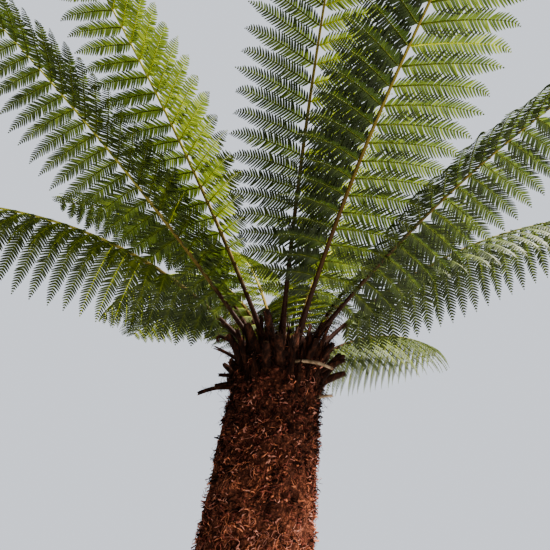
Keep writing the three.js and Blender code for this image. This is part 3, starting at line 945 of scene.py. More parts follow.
@dataclass
class Heart:
    """The woolly mound in the middle of the crown."""

    trunk: Trunk
    radius: float = 0.06
    height: float = 0.096
    gap: float = 0.0004
    columns: int = 40
    rows: int = 18
    relief: float = 0.006
    relief_size: float = 0.018
    top_share: float = 0.995
    hairs: int = 900
    hair_lean: float = 0.6
    hair_length: tuple[float, float] = (0.012, 0.03)
    hair_radii: tuple[float, ...] = (0.0009, 0.00072, 0.00027)
    hair_sunk: float = 0.002
    seed: int = 5

    def dome(self, share: Array, angle: Array) -> tuple[Array, Array]:
        """Places on the mound and the directions out of it.

        Args:
            share: Heights as a share of the mound's.
            angle: Angles round it.

        Returns:
            The places and the directions out.
        """
        flat = self.radius * np.sqrt(np.maximum(0, 1 - share**2))
        out = np.stack([flat * np.cos(angle), flat * np.sin(angle), self.height * share], axis=-1)
        foot = self.trunk.axis(self.trunk.top) + UP * self.gap
        return foot + out, unit(out)

    def build(self, finish: Material) -> Piece:
        """Makes the mound with its wool.

        Args:
            finish: The wool's material.

        Returns:
            The mound.
        """
        random = np.random.default_rng(self.seed)
        shares = np.linspace(0, self.top_share, self.rows)
        places, outs = self.dome(*np.meshgrid(shares, full_turn(self.columns), indexing="ij"))
        bumps = [noise.noise(Vector(place) / self.relief_size) for place in places.reshape(-1, 3)]
        places = places + outs * (self.relief * np.array(bumps).reshape(self.rows, self.columns, 1))
        places[0, :, 2] = self.trunk.top + self.gap
        ring, _, walls = rings_of(self.rows, self.columns)
        joined = JoinedMesh()
        joined.add(places, [walls, ring[-1:], ring[:1, ::-1]], 0)
        roots, outward = self.dome(random.random(self.hairs), random.random(self.hairs) * 2 * np.pi)
        length = blend(*self.hair_length, random.random(self.hairs))[:, None]
        lean = unit(outward + self.hair_lean * random.normal(0, 1, (self.hairs, 3)))
        half = length * 0.5
        steps = [roots - outward * self.hair_sunk, roots + outward * half, roots + (outward + lean) * half]
        side = random.normal(0, 1, (self.hairs, 3))
        joined.add(*thin_hairs(steps, self.hair_radii, side), 0)
        return joined.make("crown_wool", [finish])

    def dress(self) -> None:
        """Builds the mound and hands it over."""
        tones = (0.05, 0.024, 0.010), (0.12, 0.062, 0.026), (0.22, 0.13, 0.06)
        wool = FibreFinish("wool", *tones, patch_scale=90.0)
        hand_over(self.build(wool.build()), "wool", "crown_heart")


class EndKind(Enum):
    """How an old stalk ends."""

    CUT = "cut"
    SPLIT = "split"
    CURLED = "curled"


@dataclass(frozen=True)
class OldStalkPlan:
    """Driving sizes of one old stalk: degrees for the angles, metres for the rest."""

    turn: float
    height: float
    rise: float
    tip: float
    skew: float
    length: float
    width: float
    end: EndKind = EndKind.CUT
    pale: bool = False


class FixedSequence:
    """A fixed sequence of numbers between 0 and 1, the same as the solids' own."""

    factor: int = 1664525
    step: int = 1013904223
    end: int = 2**32

    def __init__(self, seed: int) -> None:
        """Starts the sequence."""
        self.state = seed

    def draw(self) -> float:
        """The next number."""
        self.state = (self.factor * self.state + self.step) % self.end
        return self.state / self.end


@dataclass
class OldStalks:
    """The old stalks round the head: the ones that can be told apart, and the clasping bases."""

    trunk: Trunk
    plans: tuple[OldStalkPlan, ...] = (
        OldStalkPlan(184, 2.336, 6, -36, 6, 0.165, 0.024),
        OldStalkPlan(200, 2.348, -6, -18, -12, 0.092, 0.024),
        OldStalkPlan(172, 2.404, 12, 4, 0, 0.092, 0.022),
        OldStalkPlan(190, 2.440, 34, 18, 0, 0.140, 0.030, EndKind.SPLIT),
        OldStalkPlan(212, 2.436, 52, 2, -24, 0.200, 0.020, EndKind.CURLED),
        OldStalkPlan(2, 2.340, 40, 12, 4, 0.140, 0.036),
        OldStalkPlan(-20, 2.378, 36, 8, 12, 0.130, 0.028),
        OldStalkPlan(-84, 2.392, 4, -42, 66, 0.190, 0.019, EndKind.CUT, True),
        OldStalkPlan(-22, 2.272, 10, -6, 8, 0.066, 0.018, EndKind.CUT, True),
    )
    clasping_count: int = 26
    clasping_turn: float = GOLDEN_ANGLE
    clasping_start: float = -105.0
    clasping_low: float = 2.300
    clasping_high: float = 2.405
    clasping_rise: float = 70.0
    clasping_rise_change: float = 18.0
    clasping_length: float = 0.130
    clasping_length_change: float = 0.080
    clasping_width: float = 0.030
    clasping_width_change: float = 0.010
    clasping_skew: float = 15.0
    clasping_seed: int = 7
    sunk: float = 0.030
    highest_seat: float = 2.440
    shorter: tuple[float, ...] = (1.0, 0.85, 0.7, 0.55, 0.4)
    stations: int = 4
    flatness: float = 0.85
    end_share: float = 0.78
    rings: int = 16
    sides: int = 12
    wobble: float = 0.05
    wobble_rate: float = 9.0
    phase: float = 6.0
    curl_from: float = 0.72
    curl_power: float = 1.4
    curl_turn: float = math.radians(230)
    curl_shorter: float = 0.8
    split_from: float = 0.62
    whole: tuple[tuple[float, float], ...] = ((0.0, 1.0),)
    split: tuple[tuple[float, float], ...] = ((-0.5, 0.62), (0.55, 0.5))
    lean_span: tuple[float, float] = (0.3, 2.0)
    foot_rate: float = 3.0
    prong_taper: float = 0.55
    rim_from: float = 0.9
    rim_taper: float = 0.12
    grooves: tuple[tuple[int, float], ...] = ((5, 0.13), (7, 0.08))
    groove_spread: float = 0.03
    torn_reach: tuple[float, float] = (-0.004, 0.007)
    pit_depth: float = 0.005
    hairs: int = 110
    hairless: int = 3
    hair_depth: float = 0.7
    hair_bend: float = 0.5
    hair_sag: float = 0.4
    hair_length: tuple[float, float] = (0.008, 0.024)
    hair_radii: tuple[float, ...] = (0.0008, 0.0007, 0.0002)
    seed: int = 12

    def all_plans(self) -> list[OldStalkPlan]:
        """Lists every old stalk.

        Returns:
            The listed plans, then the clasping ones, set round the head by the golden angle.
        """
        chance = FixedSequence(self.clasping_seed)
        plans = list(self.plans)
        for i in range(self.clasping_count):
            height = blend(self.clasping_low, self.clasping_high, chance.draw())
            rise = self.clasping_rise - self.clasping_rise_change * chance.draw()
            tip = rise - 2 * self.clasping_rise_change * chance.draw()
            skew = blend(-self.clasping_skew, self.clasping_skew, chance.draw())
            length = self.clasping_length + self.clasping_length_change * chance.draw()
            width = self.clasping_width + self.clasping_width_change * chance.draw()
            turn = self.clasping_start + self.clasping_turn * i
            plans.append(OldStalkPlan(turn, height, rise, tip, skew, length, width))
        return plans

    def path(self, plan: OldStalkPlan, share: float, middles: list[float]) -> Array:
        """The middle line of an old stalk.

        Args:
            plan: The stalk's sizes.
            share: How much of its length is kept.
            middles: How far along the bend each of its even steps is, from 0 to 1.

        Returns:
            The points of the line.
        """
        foot = direction(math.radians(plan.turn), 0)
        seat = float(self.trunk.plain_radius(max(plan.height, self.highest_seat))) - self.sunk
        points = [self.trunk.axis(plan.height) + foot * seat]
        for middle in middles:
            slope = math.radians(blend(plan.rise, plan.tip, middle))
            heading = direction(math.radians(plan.turn + plan.skew), slope)
            points.append(points[-1] + heading * ((plan.length * share + self.sunk) / len(middles)))
        return np.array(points)

    def build_one(self, plan: OldStalkPlan, share: float, name: str, finishes: list[Material]) -> Piece:
        """Makes one old stalk: a grooved, flattened tube with a torn end and a few hairs.

        Args:
            plan: The stalk's sizes.
            share: How much of its length is kept.
            name: The piece's name.
            finishes: The materials of its skin, its torn end and its hairs.

        Returns:
            The stalk.
        """
        random = np.random.default_rng(self.seed + int(name[-2:]))
        part = self.stations / self.rings
        middles = [max(0.0, (i + 0.5) * part - 0.5) / self.stations for i in range(self.rings)]
        line = self.path(plan, share, middles)
        places = np.linspace(0, 1, self.rings + 1)
        normals = np.repeat(UP[None], len(line), axis=0)
        if plan.end is EndKind.CURLED:
            line = self.curl(line, places, plan)
            side = direction(math.radians(plan.turn + plan.skew + 90), 0)
            normals = np.cross(np.gradient(line, axis=0), side)
        half = plan.width * (1 + (self.end_share - 1) * places) / 2
        wobble = 1 + self.wobble * np.sin(self.wobble_rate * places + random.random() * self.phase)
        joined = JoinedMesh()
        for lean, slim in self.split if plan.end is EndKind.SPLIT else self.whole:
            self.add_prong(joined, line, normals, half * wobble, places, lean, slim, random)
        self.add_hairs(joined, line, half, random)
        return joined.make(name, finishes)

    def curl(self, line: Array, places: Array, plan: OldStalkPlan) -> Array:
        """Bends the last part of a line down and back, as a shrivelled tip does.

        Args:
            line: The middle line.
            places: The stations' shares of the length.
            plan: The stalk's sizes.

        Returns:
            The bent line.
        """
        heading = direction(math.radians(plan.turn + plan.skew), 0)
        along = unit(np.gradient(line, axis=0))
        step = np.linalg.norm(line[1] - line[0])
        slopes = np.arctan2(along[:, 2], along @ heading)
        curled = np.maximum(0, (places - self.curl_from) / (1 - self.curl_from))
        bend = curled**self.curl_power * self.curl_turn
        moves = np.cos(slopes - bend)[:, None] * heading + np.sin(slopes - bend)[:, None] * UP
        shorter = np.where(places > self.curl_from, self.curl_shorter, 1.0)[:, None]
        steps = np.cumsum(moves[:-1] * shorter[:-1] * step, axis=0)
        return line[0] + np.concatenate([np.zeros((1, 3)), steps])

    def add_prong(
        self,
        joined: JoinedMesh,
        line: Array,
        normals: Array,
        half: Array,
        places: Array,
        lean: float,
        slim: float,
        random: Random,
    ) -> None:
        """Adds one prong of a stalk, which is the whole stalk where it isn't split.

        Args:
            joined: The mesh that takes it.
            line: The middle line.
            normals: The directions of the section's depth.
            half: Half the width at each station.
            places: The stations' shares of the length.
            lean: How far the prong parts from the middle line at the end, in half widths.
            slim: Its width at the end, as a share of the whole.
            random: The source of chance.
        """
        along = unit(np.gradient(line, axis=0))
        across = unit(np.cross(along, normals))
        parted = np.maximum(0, (places - self.split_from) / (1 - self.split_from))
        foot = np.minimum(1, self.foot_rate * places)
        path = line + across * (lean * blend(*self.lean_span, parted) * half * foot)[:, None]
        width = half * (1 + (slim - 1) * foot)
        if slim < 1:
            width = width * (1 - self.prong_taper * parted)
        width = width * (1 - self.rim_taper * np.maximum(0, (places - self.rim_from) / (1 - self.rim_from)))
        depth = width * self.flatness
        points, faces = tubes(path[None], normals[None], width[None], depth[None], self.sides)
        rings = points.reshape(len(line), self.sides, 3)
        groove = np.ones(self.sides)
        for count, cut in self.grooves:
            turns = count * full_turn(self.sides) + random.random() * self.phase
            groove = groove + cut * np.cos(turns)
        groove = groove[None, :, None] + random.normal(0, self.groove_spread, (len(line), self.sides, 1))
        rings = path[:, None] + (rings - path[:, None]) * groove
        torn = random.uniform(*self.torn_reach, self.sides)
        rings[-1] += along[-1] * torn[:, None]
        pit = rings[-1].mean(axis=0) - along[-1] * self.pit_depth
        last = np.arange(self.sides) + (len(line) - 1) * self.sides
        centre = len(line) * self.sides
        cap = np.stack([np.roll(last, -1), last, np.full(self.sides, centre)], axis=-1)
        all_points = np.concatenate([rings.reshape(-1, 3), pit[None]])
        slots = [np.zeros(len(faces[0]), int), np.ones(self.sides, int), np.zeros(1, int)]
        values = np.concatenate([np.repeat(places, self.sides), [1.0]])
        joined.add(all_points, [faces[0], cap[:, ::-1], faces[1][:1]], slots, values)

    def add_hairs(self, joined: JoinedMesh, line: Array, half: Array, random: Random) -> None:
        """Adds short dark hairs over the first part of a stalk.

        Args:
            joined: The mesh that takes them.
            line: The middle line.
            half: Half the width at each station.
            random: The source of chance.
        """
        station = random.integers(self.hairless, len(line) - self.hairless, self.hairs)
        out = unit(random.normal(0, 1, (self.hairs, 3)))
        root = line[station] + out * (half[station] * self.hair_depth)[:, None]
        reach = random.uniform(*self.hair_length, self.hairs)[:, None]
        bend = random.normal(0, self.hair_bend, (self.hairs, 3)) - self.hair_sag * UP
        steps = [root, root + out * reach * 0.5, root + (out + 0.5 * bend) * reach]
        joined.add(*thin_hairs(steps, self.hair_radii, np.cross(out, ASKEW)), 2)

    def find_share(self, node: str, plan: OldStalkPlan) -> float | None:
        """Reads off a solid how much of a stalk's length it keeps.

        Args:
            node: The solid's name.
            plan: The stalk's sizes.

        Returns:
            The share of its length, or None if the solid isn't this stalk's.
        """
        tree = solid_points(node)
        middles = [i / self.stations for i in range(self.stations)]
        for share in self.shorter:
            if tree.find(Vector(self.path(plan, share, middles)[-1]))[2] < MATCH:
                return share
        return None

    def dress(self) -> None:
        """Builds every old stalk that has a solid and hands it over."""
        dark = FibreFinish(
            "old stalk",
            (0.0045, 0.0018, 0.0013),
            (0.015, 0.0056, 0.0036),
            (0.075, 0.028, 0.016),
            patch_scale=55.0,
            stretch=(1.0, 1.0, 0.3),
            bump=1.0,
            bump_depth=0.006,
        ).build()
        tones = (0.10, 0.07, 0.045), (0.22, 0.16, 0.11), (0.36, 0.28, 0.20)
        pale = FibreFinish("bleached stalk", *tones, patch_scale=30.0).build()
        torn = FibreFinish("torn end", (0.03, 0.016, 0.010), (0.09, 0.05, 0.03), (0.18, 0.11, 0.07)).build()
        tones = (0.015, 0.007, 0.005), (0.04, 0.018, 0.011), (0.08, 0.038, 0.022)
        hair = FibreFinish("stalk hair", *tones).build()
        waiting = sorted(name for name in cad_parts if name.startswith("old_stalk"))
        for plan in self.all_plans():
            share = self.find_share(waiting[0], plan) if waiting else None
            if share is None:
                continue
            name = waiting.pop(0)
            skin = pale if plan.pale else dark
            piece = self.build_one(plan, share, "stalk_end_" + name[-2:], [skin, torn, hair])
            hand_over(piece, "old_stalk", name)
        if waiting:
            raise ValueError(f"no plan fits the solids {waiting}")


@dataclass
class Sheaths:
    """The torn dark bases of the oldest stalks, which overlap all round the head."""

    trunk: Trunk
    count: int = 210
    turn: float = math.radians(GOLDEN_ANGLE)
    low: float = 2.16
    high: float = 2.45
    length: tuple[float, float] = (0.09, 0.19)
    half_width: tuple[float, float] = (0.006, 0.016)
    flatness: float = 0.32
    rise_low: float = math.radians(84)
    rise_high: tuple[float, float] = (math.radians(80), math.radians(60))
    rise_spread: float = math.radians(7)
    stations: int = 8
    sides: int = 8
    sunk: float = 0.012
    height_power: float = 0.8
    height_spread: float = 0.01
    turn_spread: float = 0.06
    skew_spread: float = 0.12
    taper: float = 0.45
    taper_power: float = 1.6
    width_spread: float = 0.05
    torn_reach: tuple[float, float] = (-0.012, 0.018)
    roughness: float = 0.0014
    hairs: int = 2200
    hair_scatter: float = 0.007
    hair_turn: float = 0.02
    hair_bend: float = 0.4
    hair_length: tuple[float, float] = (0.015, 0.05)
    hair_radii: tuple[float, ...] = (0.0012, 0.0010, 0.0003)
    seed: int = 21

    def build(self, finishes: list[Material]) -> Piece:
        """Makes the bases and the chaff between them.

        Args:
            finishes: The materials of the bases and of the chaff.

        Returns:
            Both, joined.
        """
        random = np.random.default_rng(self.seed)
        order = np.arange(self.count)
        height = blend(self.low, self.high, (order / self.count) ** self.height_power)
        height = height + random.normal(0, self.height_spread, self.count)
        angle = order * self.turn + random.normal(0, self.turn_spread, self.count)
        foot, out = self.trunk.surface(height, angle, 0.0)
        foot = foot - out * self.sunk
        side = np.stack([-out[:, 1], out[:, 0], np.zeros(self.count)], axis=-1)
        skew = random.normal(0, self.skew_spread, self.count)[:, None]
        length = blend(*self.length, random.random(self.count))
        share = np.linspace(0, 1, self.stations)
        last = blend(*self.rise_high, (order / self.count) ** 2)[:, None]
        slopes = blend(self.rise_low, last, share)
        slopes = slopes + random.normal(0, self.rise_spread, (self.count, 1)) * share
        ways = (out + side * skew)[:, None] * np.cos(slopes)[..., None] + UP * np.sin(slopes)[..., None]
        steps = ways[:, :-1] * (length / (self.stations - 1))[:, None, None]
        paths = np.concatenate([foot[:, None], foot[:, None] + np.cumsum(steps, axis=1)], axis=1)
        lean = self.trunk.axis(paths[..., 2]) - self.trunk.axis(foot[:, 2])[:, None]
        paths[..., 0] += lean[..., 0]
        half = blend(*self.half_width, random.random(self.count))[:, None]
        half = half * (1 - self.taper * share**self.taper_power)
        half = half * (1 + random.normal(0, self.width_spread, half.shape))
        normals = np.repeat(out[:, None], self.stations, axis=1)
        points, faces = tubes(paths, normals, half, half * self.flatness, self.sides)
        rings = points.reshape(self.count, self.stations, self.sides, 3)
        rings[:, -1] += ways[:, -1, None] * random.uniform(*self.torn_reach, (self.count, self.sides, 1))
        rings += random.normal(0, self.roughness, rings.shape)
        joined = JoinedMesh()
        joined.add(rings, faces, 0)
        joined.add(*self.chaff(paths, random), 1)
        return joined.make("stalk_sheaths", finishes)

    def chaff(self, paths: Array, random: Random) -> Shape:
        """The dark hairs that stand between the bases.

        Args:
            paths: The middle lines of the bases.
            random: The source of chance.

        Returns:
            Their points and faces.
        """
        base = random.integers(0, self.count, self.hairs)
        station = random.integers(1, self.stations, self.hairs)
        root = paths[base, station] + random.normal(0, self.hair_scatter, (self.hairs, 3))
        reach = blend(*self.hair_length, random.random(self.hairs) ** 2)[:, None]
        way = paths[base, station] - paths[base, station - 1]
        way = unit(way + random.normal(0, self.hair_turn, (self.hairs, 3)))
        bend = random.normal(0, self.hair_bend, (self.hairs, 3))
        steps = [root, root + way * reach * 0.5, root + (way + bend) * reach]
        return thin_hairs(steps, self.hair_radii, np.cross(way, ASKEW))

    def dress(self) -> None:
        """Builds the bases and hands them over."""
        base = FibreFinish(
            "stalk base",
            (0.0045, 0.0018, 0.0012),
            (0.016, 0.0058, 0.0036),
            (0.075, 0.027, 0.015),
            patch_scale=75.0,
            stretch=(1.0, 1.0, 0.25),
            grain_scale=260.0,
            bump=0.8,
        )
        chaff = FibreFinish("chaff", (0.012, 0.005, 0.003), (0.035, 0.014, 0.009), (0.10, 0.045, 0.028))
        hand_over(self.build([base.build(), chaff.build()]), "mantle", "trunk")


def solid_points(node: str) -> kdtree.KDTree:
    """Gathers the corner points of a solid.

    Args:
        node: The solid's name.

    Returns:
        A search tree over the points.
    """
    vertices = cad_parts[node].data.vertices
    tree = kdtree.KDTree(len(vertices))
    for i, vertex in enumerate(vertices):
        tree.insert(vertex.co, i)
    tree.balance()
    return tree


@dataclass(frozen=True)
class FrondPlan:
    """Driving sizes of one frond: degrees for the angles, metres for the rest."""

    turn: float
    seat: float
    rise: float
    tip: float
    length: float
    leaflet: float
    hang: float
    droop: tuple[float, float]
    roll: float
    left: Light
    right: Light
    lit: bool = False
    fullness: float = 1.0
    hooked: Side | None = None
    skyward: float = 1.3
    leaf_spacing: float = 0.0124


@dataclass
class RibPlace:
    """A place on a frond's rib with its directions."""

    point: Array
    along: Array
    right: Array
    up: Array


@dataclass
class Leaflet:
    """One side branch of a frond: its middle line, directions and reach."""

    points: Array
    headings: Array
    across: Array
    normals: Array
    length: float
    room: float
    level: float
    fold: float
    width: float


@dataclass
class Frond:
    """One frond: its rule, the same as its solid's, and the finer leaves and stalk that it gives."""

    trunk: Trunk
    plan: FrondPlan
    number: int
    line_steps: int = 60
    arch_power: float = 1.2
    bare_share: float = 0.12
    pairs: int = 24
    steep_rise: float = 64.0
    flat_rise: float = 42.0
    steep_seat: float = 0.088
    flat_seat: float = 0.118
    seat_depth: float = 0.012
    seat_sunk: float = 0.045
    rib_width: float = 0.033
    rib_blade_width: float = 0.022
    rib_tip_width: float = 0.005
    stalk_taper_power: float = 0.7
    sweep_start: float = 80.0
    sweep_change: float = 30.0
    outline_height: float = 1.99
    outline_start_power: float = 0.45
    outline_end_power: float = 0.55
    solid_steps: int = 6
    shorter: tuple[float, ...] = (1.0, 0.86, 0.72, 0.58, 0.44)
    fewest_leaves: int = 4
    leaf_room: float = 1.55
    room_change: tuple[float, float] = (1.2, 0.78)
    leaf_width_share: float = 0.375
    last_width_share: float = 0.5
    leaf_angle: float = math.radians(67)
    leaf_angle_change: float = math.radians(14)
    leaf_stations: tuple[tuple[float, float], ...] = ((0.0, 1.12), (0.45, 1.0), (0.82, 0.6))
    leaf_sweep: float = 0.12
    leaf_fold: float = -10
    hooked_fold: float = -14
    hooked_width: float = 1.3
    fold_spread: float = 6
    angle_spread: float = math.radians(2)
    tilt_spread: float = math.radians(4)
    drift_rates: Triple = (3.1, 7.3, 2.7)
    # How the leaves' painted sun and shade drifts in patches and scatters, and the level above which a side
    # rib is painted sunlit.
    level_change: float = 0.9
    level_spread: float = 0.22
    leaf_spread: float = 0.55
    highest_level: int = 5
    lit_rib_level: float = 2.3
    leaf_roof: float = 0.38
    roof_reach: float = 0.3
    leaf_curl: float = 0.10
    leaf_curl_range: tuple[float, float] = (0.3, 1.9)
    leaf_start: float = 0.62
    leaf_start_share: float = 0.12
    leaf_fall_power: float = 3.2
    leaf_least: float = 0.004
    leaf_share: float = 0.3
    length_spread: float = 0.035
    droop_spread: float = 3.0
    tip_curl: float = math.radians(80)
    tip_curl_range: tuple[float, float] = (0.2, 1.8)
    least_upright: float = 0.1
    hanging: float = 80
    tip_curl_from: float = 0.74
    costa_steps: int = 10
    costa_radius: float = 0.0037
    costa_taper: float = 0.82
    costa_least: float = 0.4
    costa_full_length: float = 0.3
    costa_sunk: float = 0.9
    stalk_sides: int = 12
    stalk_drop: float = 0.3
    stalk_section: tuple[float, float] = (0.48, 0.42)
    foot_swell: float = 0.5
    foot_swell_power: float = 1.5
    hairs: int = 170
    hair_stations: int = 9
    hair_low_bias: float = 1.7
    hair_depth: float = 0.4
    hair_lean: tuple[float, float] = (-0.6, 0.5)
    hair_spread: float = 0.35
    hair_stiffness: float = 0.2
    hair_reach: float = 0.033
    hair_length: tuple[float, float] = (0.012, 0.034)
    hair_radii: tuple[float, ...] = (0.0009, 0.0007, 0.0002)
    line: Array | None = None
    directions: Array | None = None

    def __post_init__(self) -> None:
        """Works out the line of the rib, from its seat on the head to its tip."""
        plan = self.plan
        flatness = min(1.0, max(0.0, (self.steep_rise - plan.rise) / (self.steep_rise - self.flat_rise)))
        reach = blend(self.steep_seat, self.flat_seat, flatness)
        turn = math.radians(plan.turn)
        height = self.trunk.shoulder_top(reach) - self.seat_depth
        start = self.trunk.axis(height) + direction(math.radians(plan.seat), 0) * reach
        bends = [(i / self.line_steps) ** self.arch_power for i in range(self.line_steps)]
        slopes = [blend(plan.rise, plan.tip, bend) for bend in bends]
        ways = np.array([direction(turn, math.radians(slope)) for slope in slopes])
        steps = np.cumsum(ways * (plan.length / self.line_steps), axis=0)
        self.line = np.concatenate([start[None], start + steps])
        self.directions = np.concatenate([ways, ways[-1:]])

    def rib_place(self, share: float) -> RibPlace:
        """The place on the rib at a share of its length, with its directions.

        Args:
            share: The share, below 0 for the part sunk in the head.

        Returns:
            The place.
        """
        position = min(1.0, max(0.0, share)) * self.line_steps
        first = min(self.line_steps - 1, int(position))
        part = position - first
        along = unit(blend(self.directions[first], self.directions[first + 1], part))
        point = blend(self.line[first], self.line[first + 1], part)
        if share < 0:
            point = point + along * share * self.plan.length
        roll = math.radians(self.plan.roll)
        right = unit(np.cross(along, UP))
        up = np.cross(right, along)
        turned = right * math.cos(roll) + up * math.sin(roll)
        return RibPlace(point, along, turned, np.cross(turned, along))

    def width_at(self, share: float) -> float:
        """The rib's width at a share of its length.

        Args:
            share: The share.

        Returns:
            The width.
        """
        if share < self.bare_share:
            taper = max(0.0, share / self.bare_share) ** self.stalk_taper_power
            return blend(self.rib_width, self.rib_blade_width, taper)
        taper = (share - self.bare_share) / (1 - self.bare_share)
        return blend(self.rib_blade_width, self.rib_tip_width, taper)

    def leaflet_length(self, place: float) -> float:
        """The full length of a leaflet.

        Args:
            place: Its place along the blade.

        Returns:
            The length.
        """
        rise = place**self.outline_start_power
        fall = (1 - place) ** self.outline_end_power
        return self.plan.leaflet * min(1.0, self.outline_height * rise * fall)

    def droop(self, side: Side) -> float:
        """How far the leaflets of one side bend down from their foot to their tip, in degrees."""
        return self.plan.droop[0 if side is Side.LEFT else 1]

    def leaflet_ways(self, place: float, side: Side) -> tuple[RibPlace, Array, Array, Array]:
        """The start of a leaflet.

        Args:
            place: Its place along the blade.
            side: Its side of the rib.

        Returns:
            Its place on the rib, its root, its direction out and its direction down.
        """
        share = self.bare_share + (1 - self.bare_share) * place
        at = self.rib_place(share)
        sweep = math.radians(self.sweep_start - self.sweep_change * place)
        out = unit(at.right * side.value * math.sin(sweep) + at.along * math.cos(sweep))
        down = unit(-UP + out * float(np.dot(UP, out)))
        return at, at.point + at.right * side.value * (self.width_at(share) / 2), out, down

    def leaflet_line(
        self, place: float, side: Side, length: float, steps: int, curl: float = 0.0, more_droop: float = 0.0
    ) -> tuple[Array, Array]:
        """The curved middle line of a leaflet.

        Args:
            place: Its place along the blade.
            side: Its side of the rib.
            length: Its length.
            steps: How many steps the line takes.
            curl: A further bend at the tip, in radians.
            more_droop: A further bend over the whole length, in radians.

        Returns:
            The points and the heading at each of them.
        """
        _, root, out, down = self.leaflet_ways(place, side)
        share = (np.arange(steps) + 0.5) / steps
        bend = np.radians(self.plan.hang + self.droop(side) * share) + more_droop * share
        bend = bend + curl * np.maximum(0, (share - self.tip_curl_from) / (1 - self.tip_curl_from)) ** 2
        ways = out * np.cos(bend)[:, None] + down * np.sin(bend)[:, None]
        points = np.concatenate([root[None], root + np.cumsum(ways * (length / steps), axis=0)])
        return points, np.concatenate([ways, ways[-1:]])

    def kept_length(self, tree: kdtree.KDTree, place: float, side: Side) -> float:
        """The length that a leaflet has in the solid, or 0 where it was left out.

        Args:
            tree: The solid's corner points.
            place: The leaflet's place along the blade.
            side: Its side of the rib.

        Returns:
            The length.
        """
        full = self.leaflet_length(place)
        for share in self.shorter:
            points, _ = self.leaflet_line(place, side, full * share, self.solid_steps)
            if tree.find(Vector(points[-1]))[2] < MATCH:
                return full * share
        return 0.0

    def leaflets(self, random: Random) -> list[Leaflet]:
        """All leaflets that the solid has, with small chance bends and a level of painted sun and shade each.

        Args:
            random: The source of chance.

        Returns:
            The leaflets.
        """
        tree = solid_points(self.node)
        found = []
        for k in range(self.pairs):
            place = (k + 0.5) / self.pairs
            sweep = math.radians(self.sweep_start - self.sweep_change * place)
            spacing = self.plan.length * (1 - self.bare_share) / self.pairs
            for side, light in ((Side.LEFT, self.plan.left), (Side.RIGHT, self.plan.right)):
                length = self.kept_length(tree, place, side)
                upright = 1 - (self.plan.hang + self.droop(side)) / self.hanging
                curl = self.tip_curl * max(self.least_upright, upright)
                curl = curl * random.uniform(*self.tip_curl_range)
                more_droop = math.radians(random.normal(0, self.droop_spread))
                # A leaflet's level is painted sun and shade: its side's Light, drifting in patches along the
                # frond.
                drift = noise.noise(Vector(np.array(self.drift_rates) * (place, self.number, side.value)))
                level = light.value + self.level_change * drift + random.normal(0, self.level_spread)
                if not length:
                    continue
                at, *_ = self.leaflet_ways(place, side)
                count = max(self.fewest_leaves, round(length / self.plan.leaf_spacing))
                points, headings = self.leaflet_line(place, side, length, count, curl, more_droop)
                across = unit(at.along - headings * (headings @ at.along)[:, None])
                flat = np.cross(across, headings) * -side.value
                level_up = UP - headings * (headings @ UP)[:, None]
                normals = unit(flat + level_up * self.plan.skyward)
                across = np.cross(headings, normals) * -side.value
                room = spacing * math.sin(sweep) / 2 * blend(*self.room_change, place)
                hooked = side is self.plan.hooked
                fold, width = (self.hooked_fold, self.hooked_width) if hooked else (self.leaf_fold, 1.0)
                fold = math.radians(random.normal(fold, self.fold_spread))
                found.append(Leaflet(points, headings, across, normals, length, room, level, fold, width))
        return found

    @property
    def node(self) -> str:
        """The name of the frond's solid."""
        return f"frond_{self.number:02d}"

    def leaf_roots(self, leaflet: Leaflet, random: Random) -> tuple[Array, ...]:
        """Where the small leaves of a leaflet start and how they lie.

        Args:
            leaflet: The leaflet that bears them.
            random: The source of chance.

        Returns:
            Their roots, directions, upward normals, bends towards the leaflet's tip, lengths, half widths
            and tints.
        """
        count = len(leaflet.points) - 1
        share = (np.arange(count) + 0.5) / count
        roots = (leaflet.points[:-1] + leaflet.points[1:]) / 2
        heading, across, normal = (some[:-1] for some in (leaflet.headings, leaflet.across, leaflet.normals))
        start = blend(self.leaf_start, 1.0, np.minimum(1, share / self.leaf_start_share))
        fall = 1 - share**self.leaf_fall_power
        room = leaflet.room * self.leaf_room * self.plan.fullness
        longest = min(room / math.sin(self.leaf_angle), self.leaf_share * leaflet.length + self.leaf_least)
        lengths = np.maximum(longest * start * fall, self.leaf_least)
        spacing = leaflet.length / count
        halves = leaflet.width * self.leaf_width_share * spacing * blend(self.last_width_share, 1.0, fall)
        all_sides = []
        for side in Side:
            angle = self.leaf_angle - self.leaf_angle_change * share
            angle = angle + random.normal(0, self.angle_spread, count)
            tilt = leaflet.fold + random.normal(0, self.tilt_spread, count)
            flat = across * (side.value * np.sin(angle))[:, None] + heading * np.cos(angle)[:, None]
            way = unit(flat * np.cos(tilt)[:, None] + normal * np.sin(tilt)[:, None])
            upward = unit(normal - way * np.sum(normal * way, axis=1, keepdims=True))
            scale = random.normal(1, self.length_spread, count)
            # Each small leaf takes the tint of its leaflet's painted sun and shade, slightly scattered.
            tint = np.round(leaflet.level + random.normal(0, self.leaf_spread, count))
            tint = np.clip(tint, 0, self.highest_level).astype(int)
            all_sides.append((roots, way, upward, heading, lengths * scale, halves, tint))
        return tuple(np.concatenate(parts) for parts in zip(*all_sides))

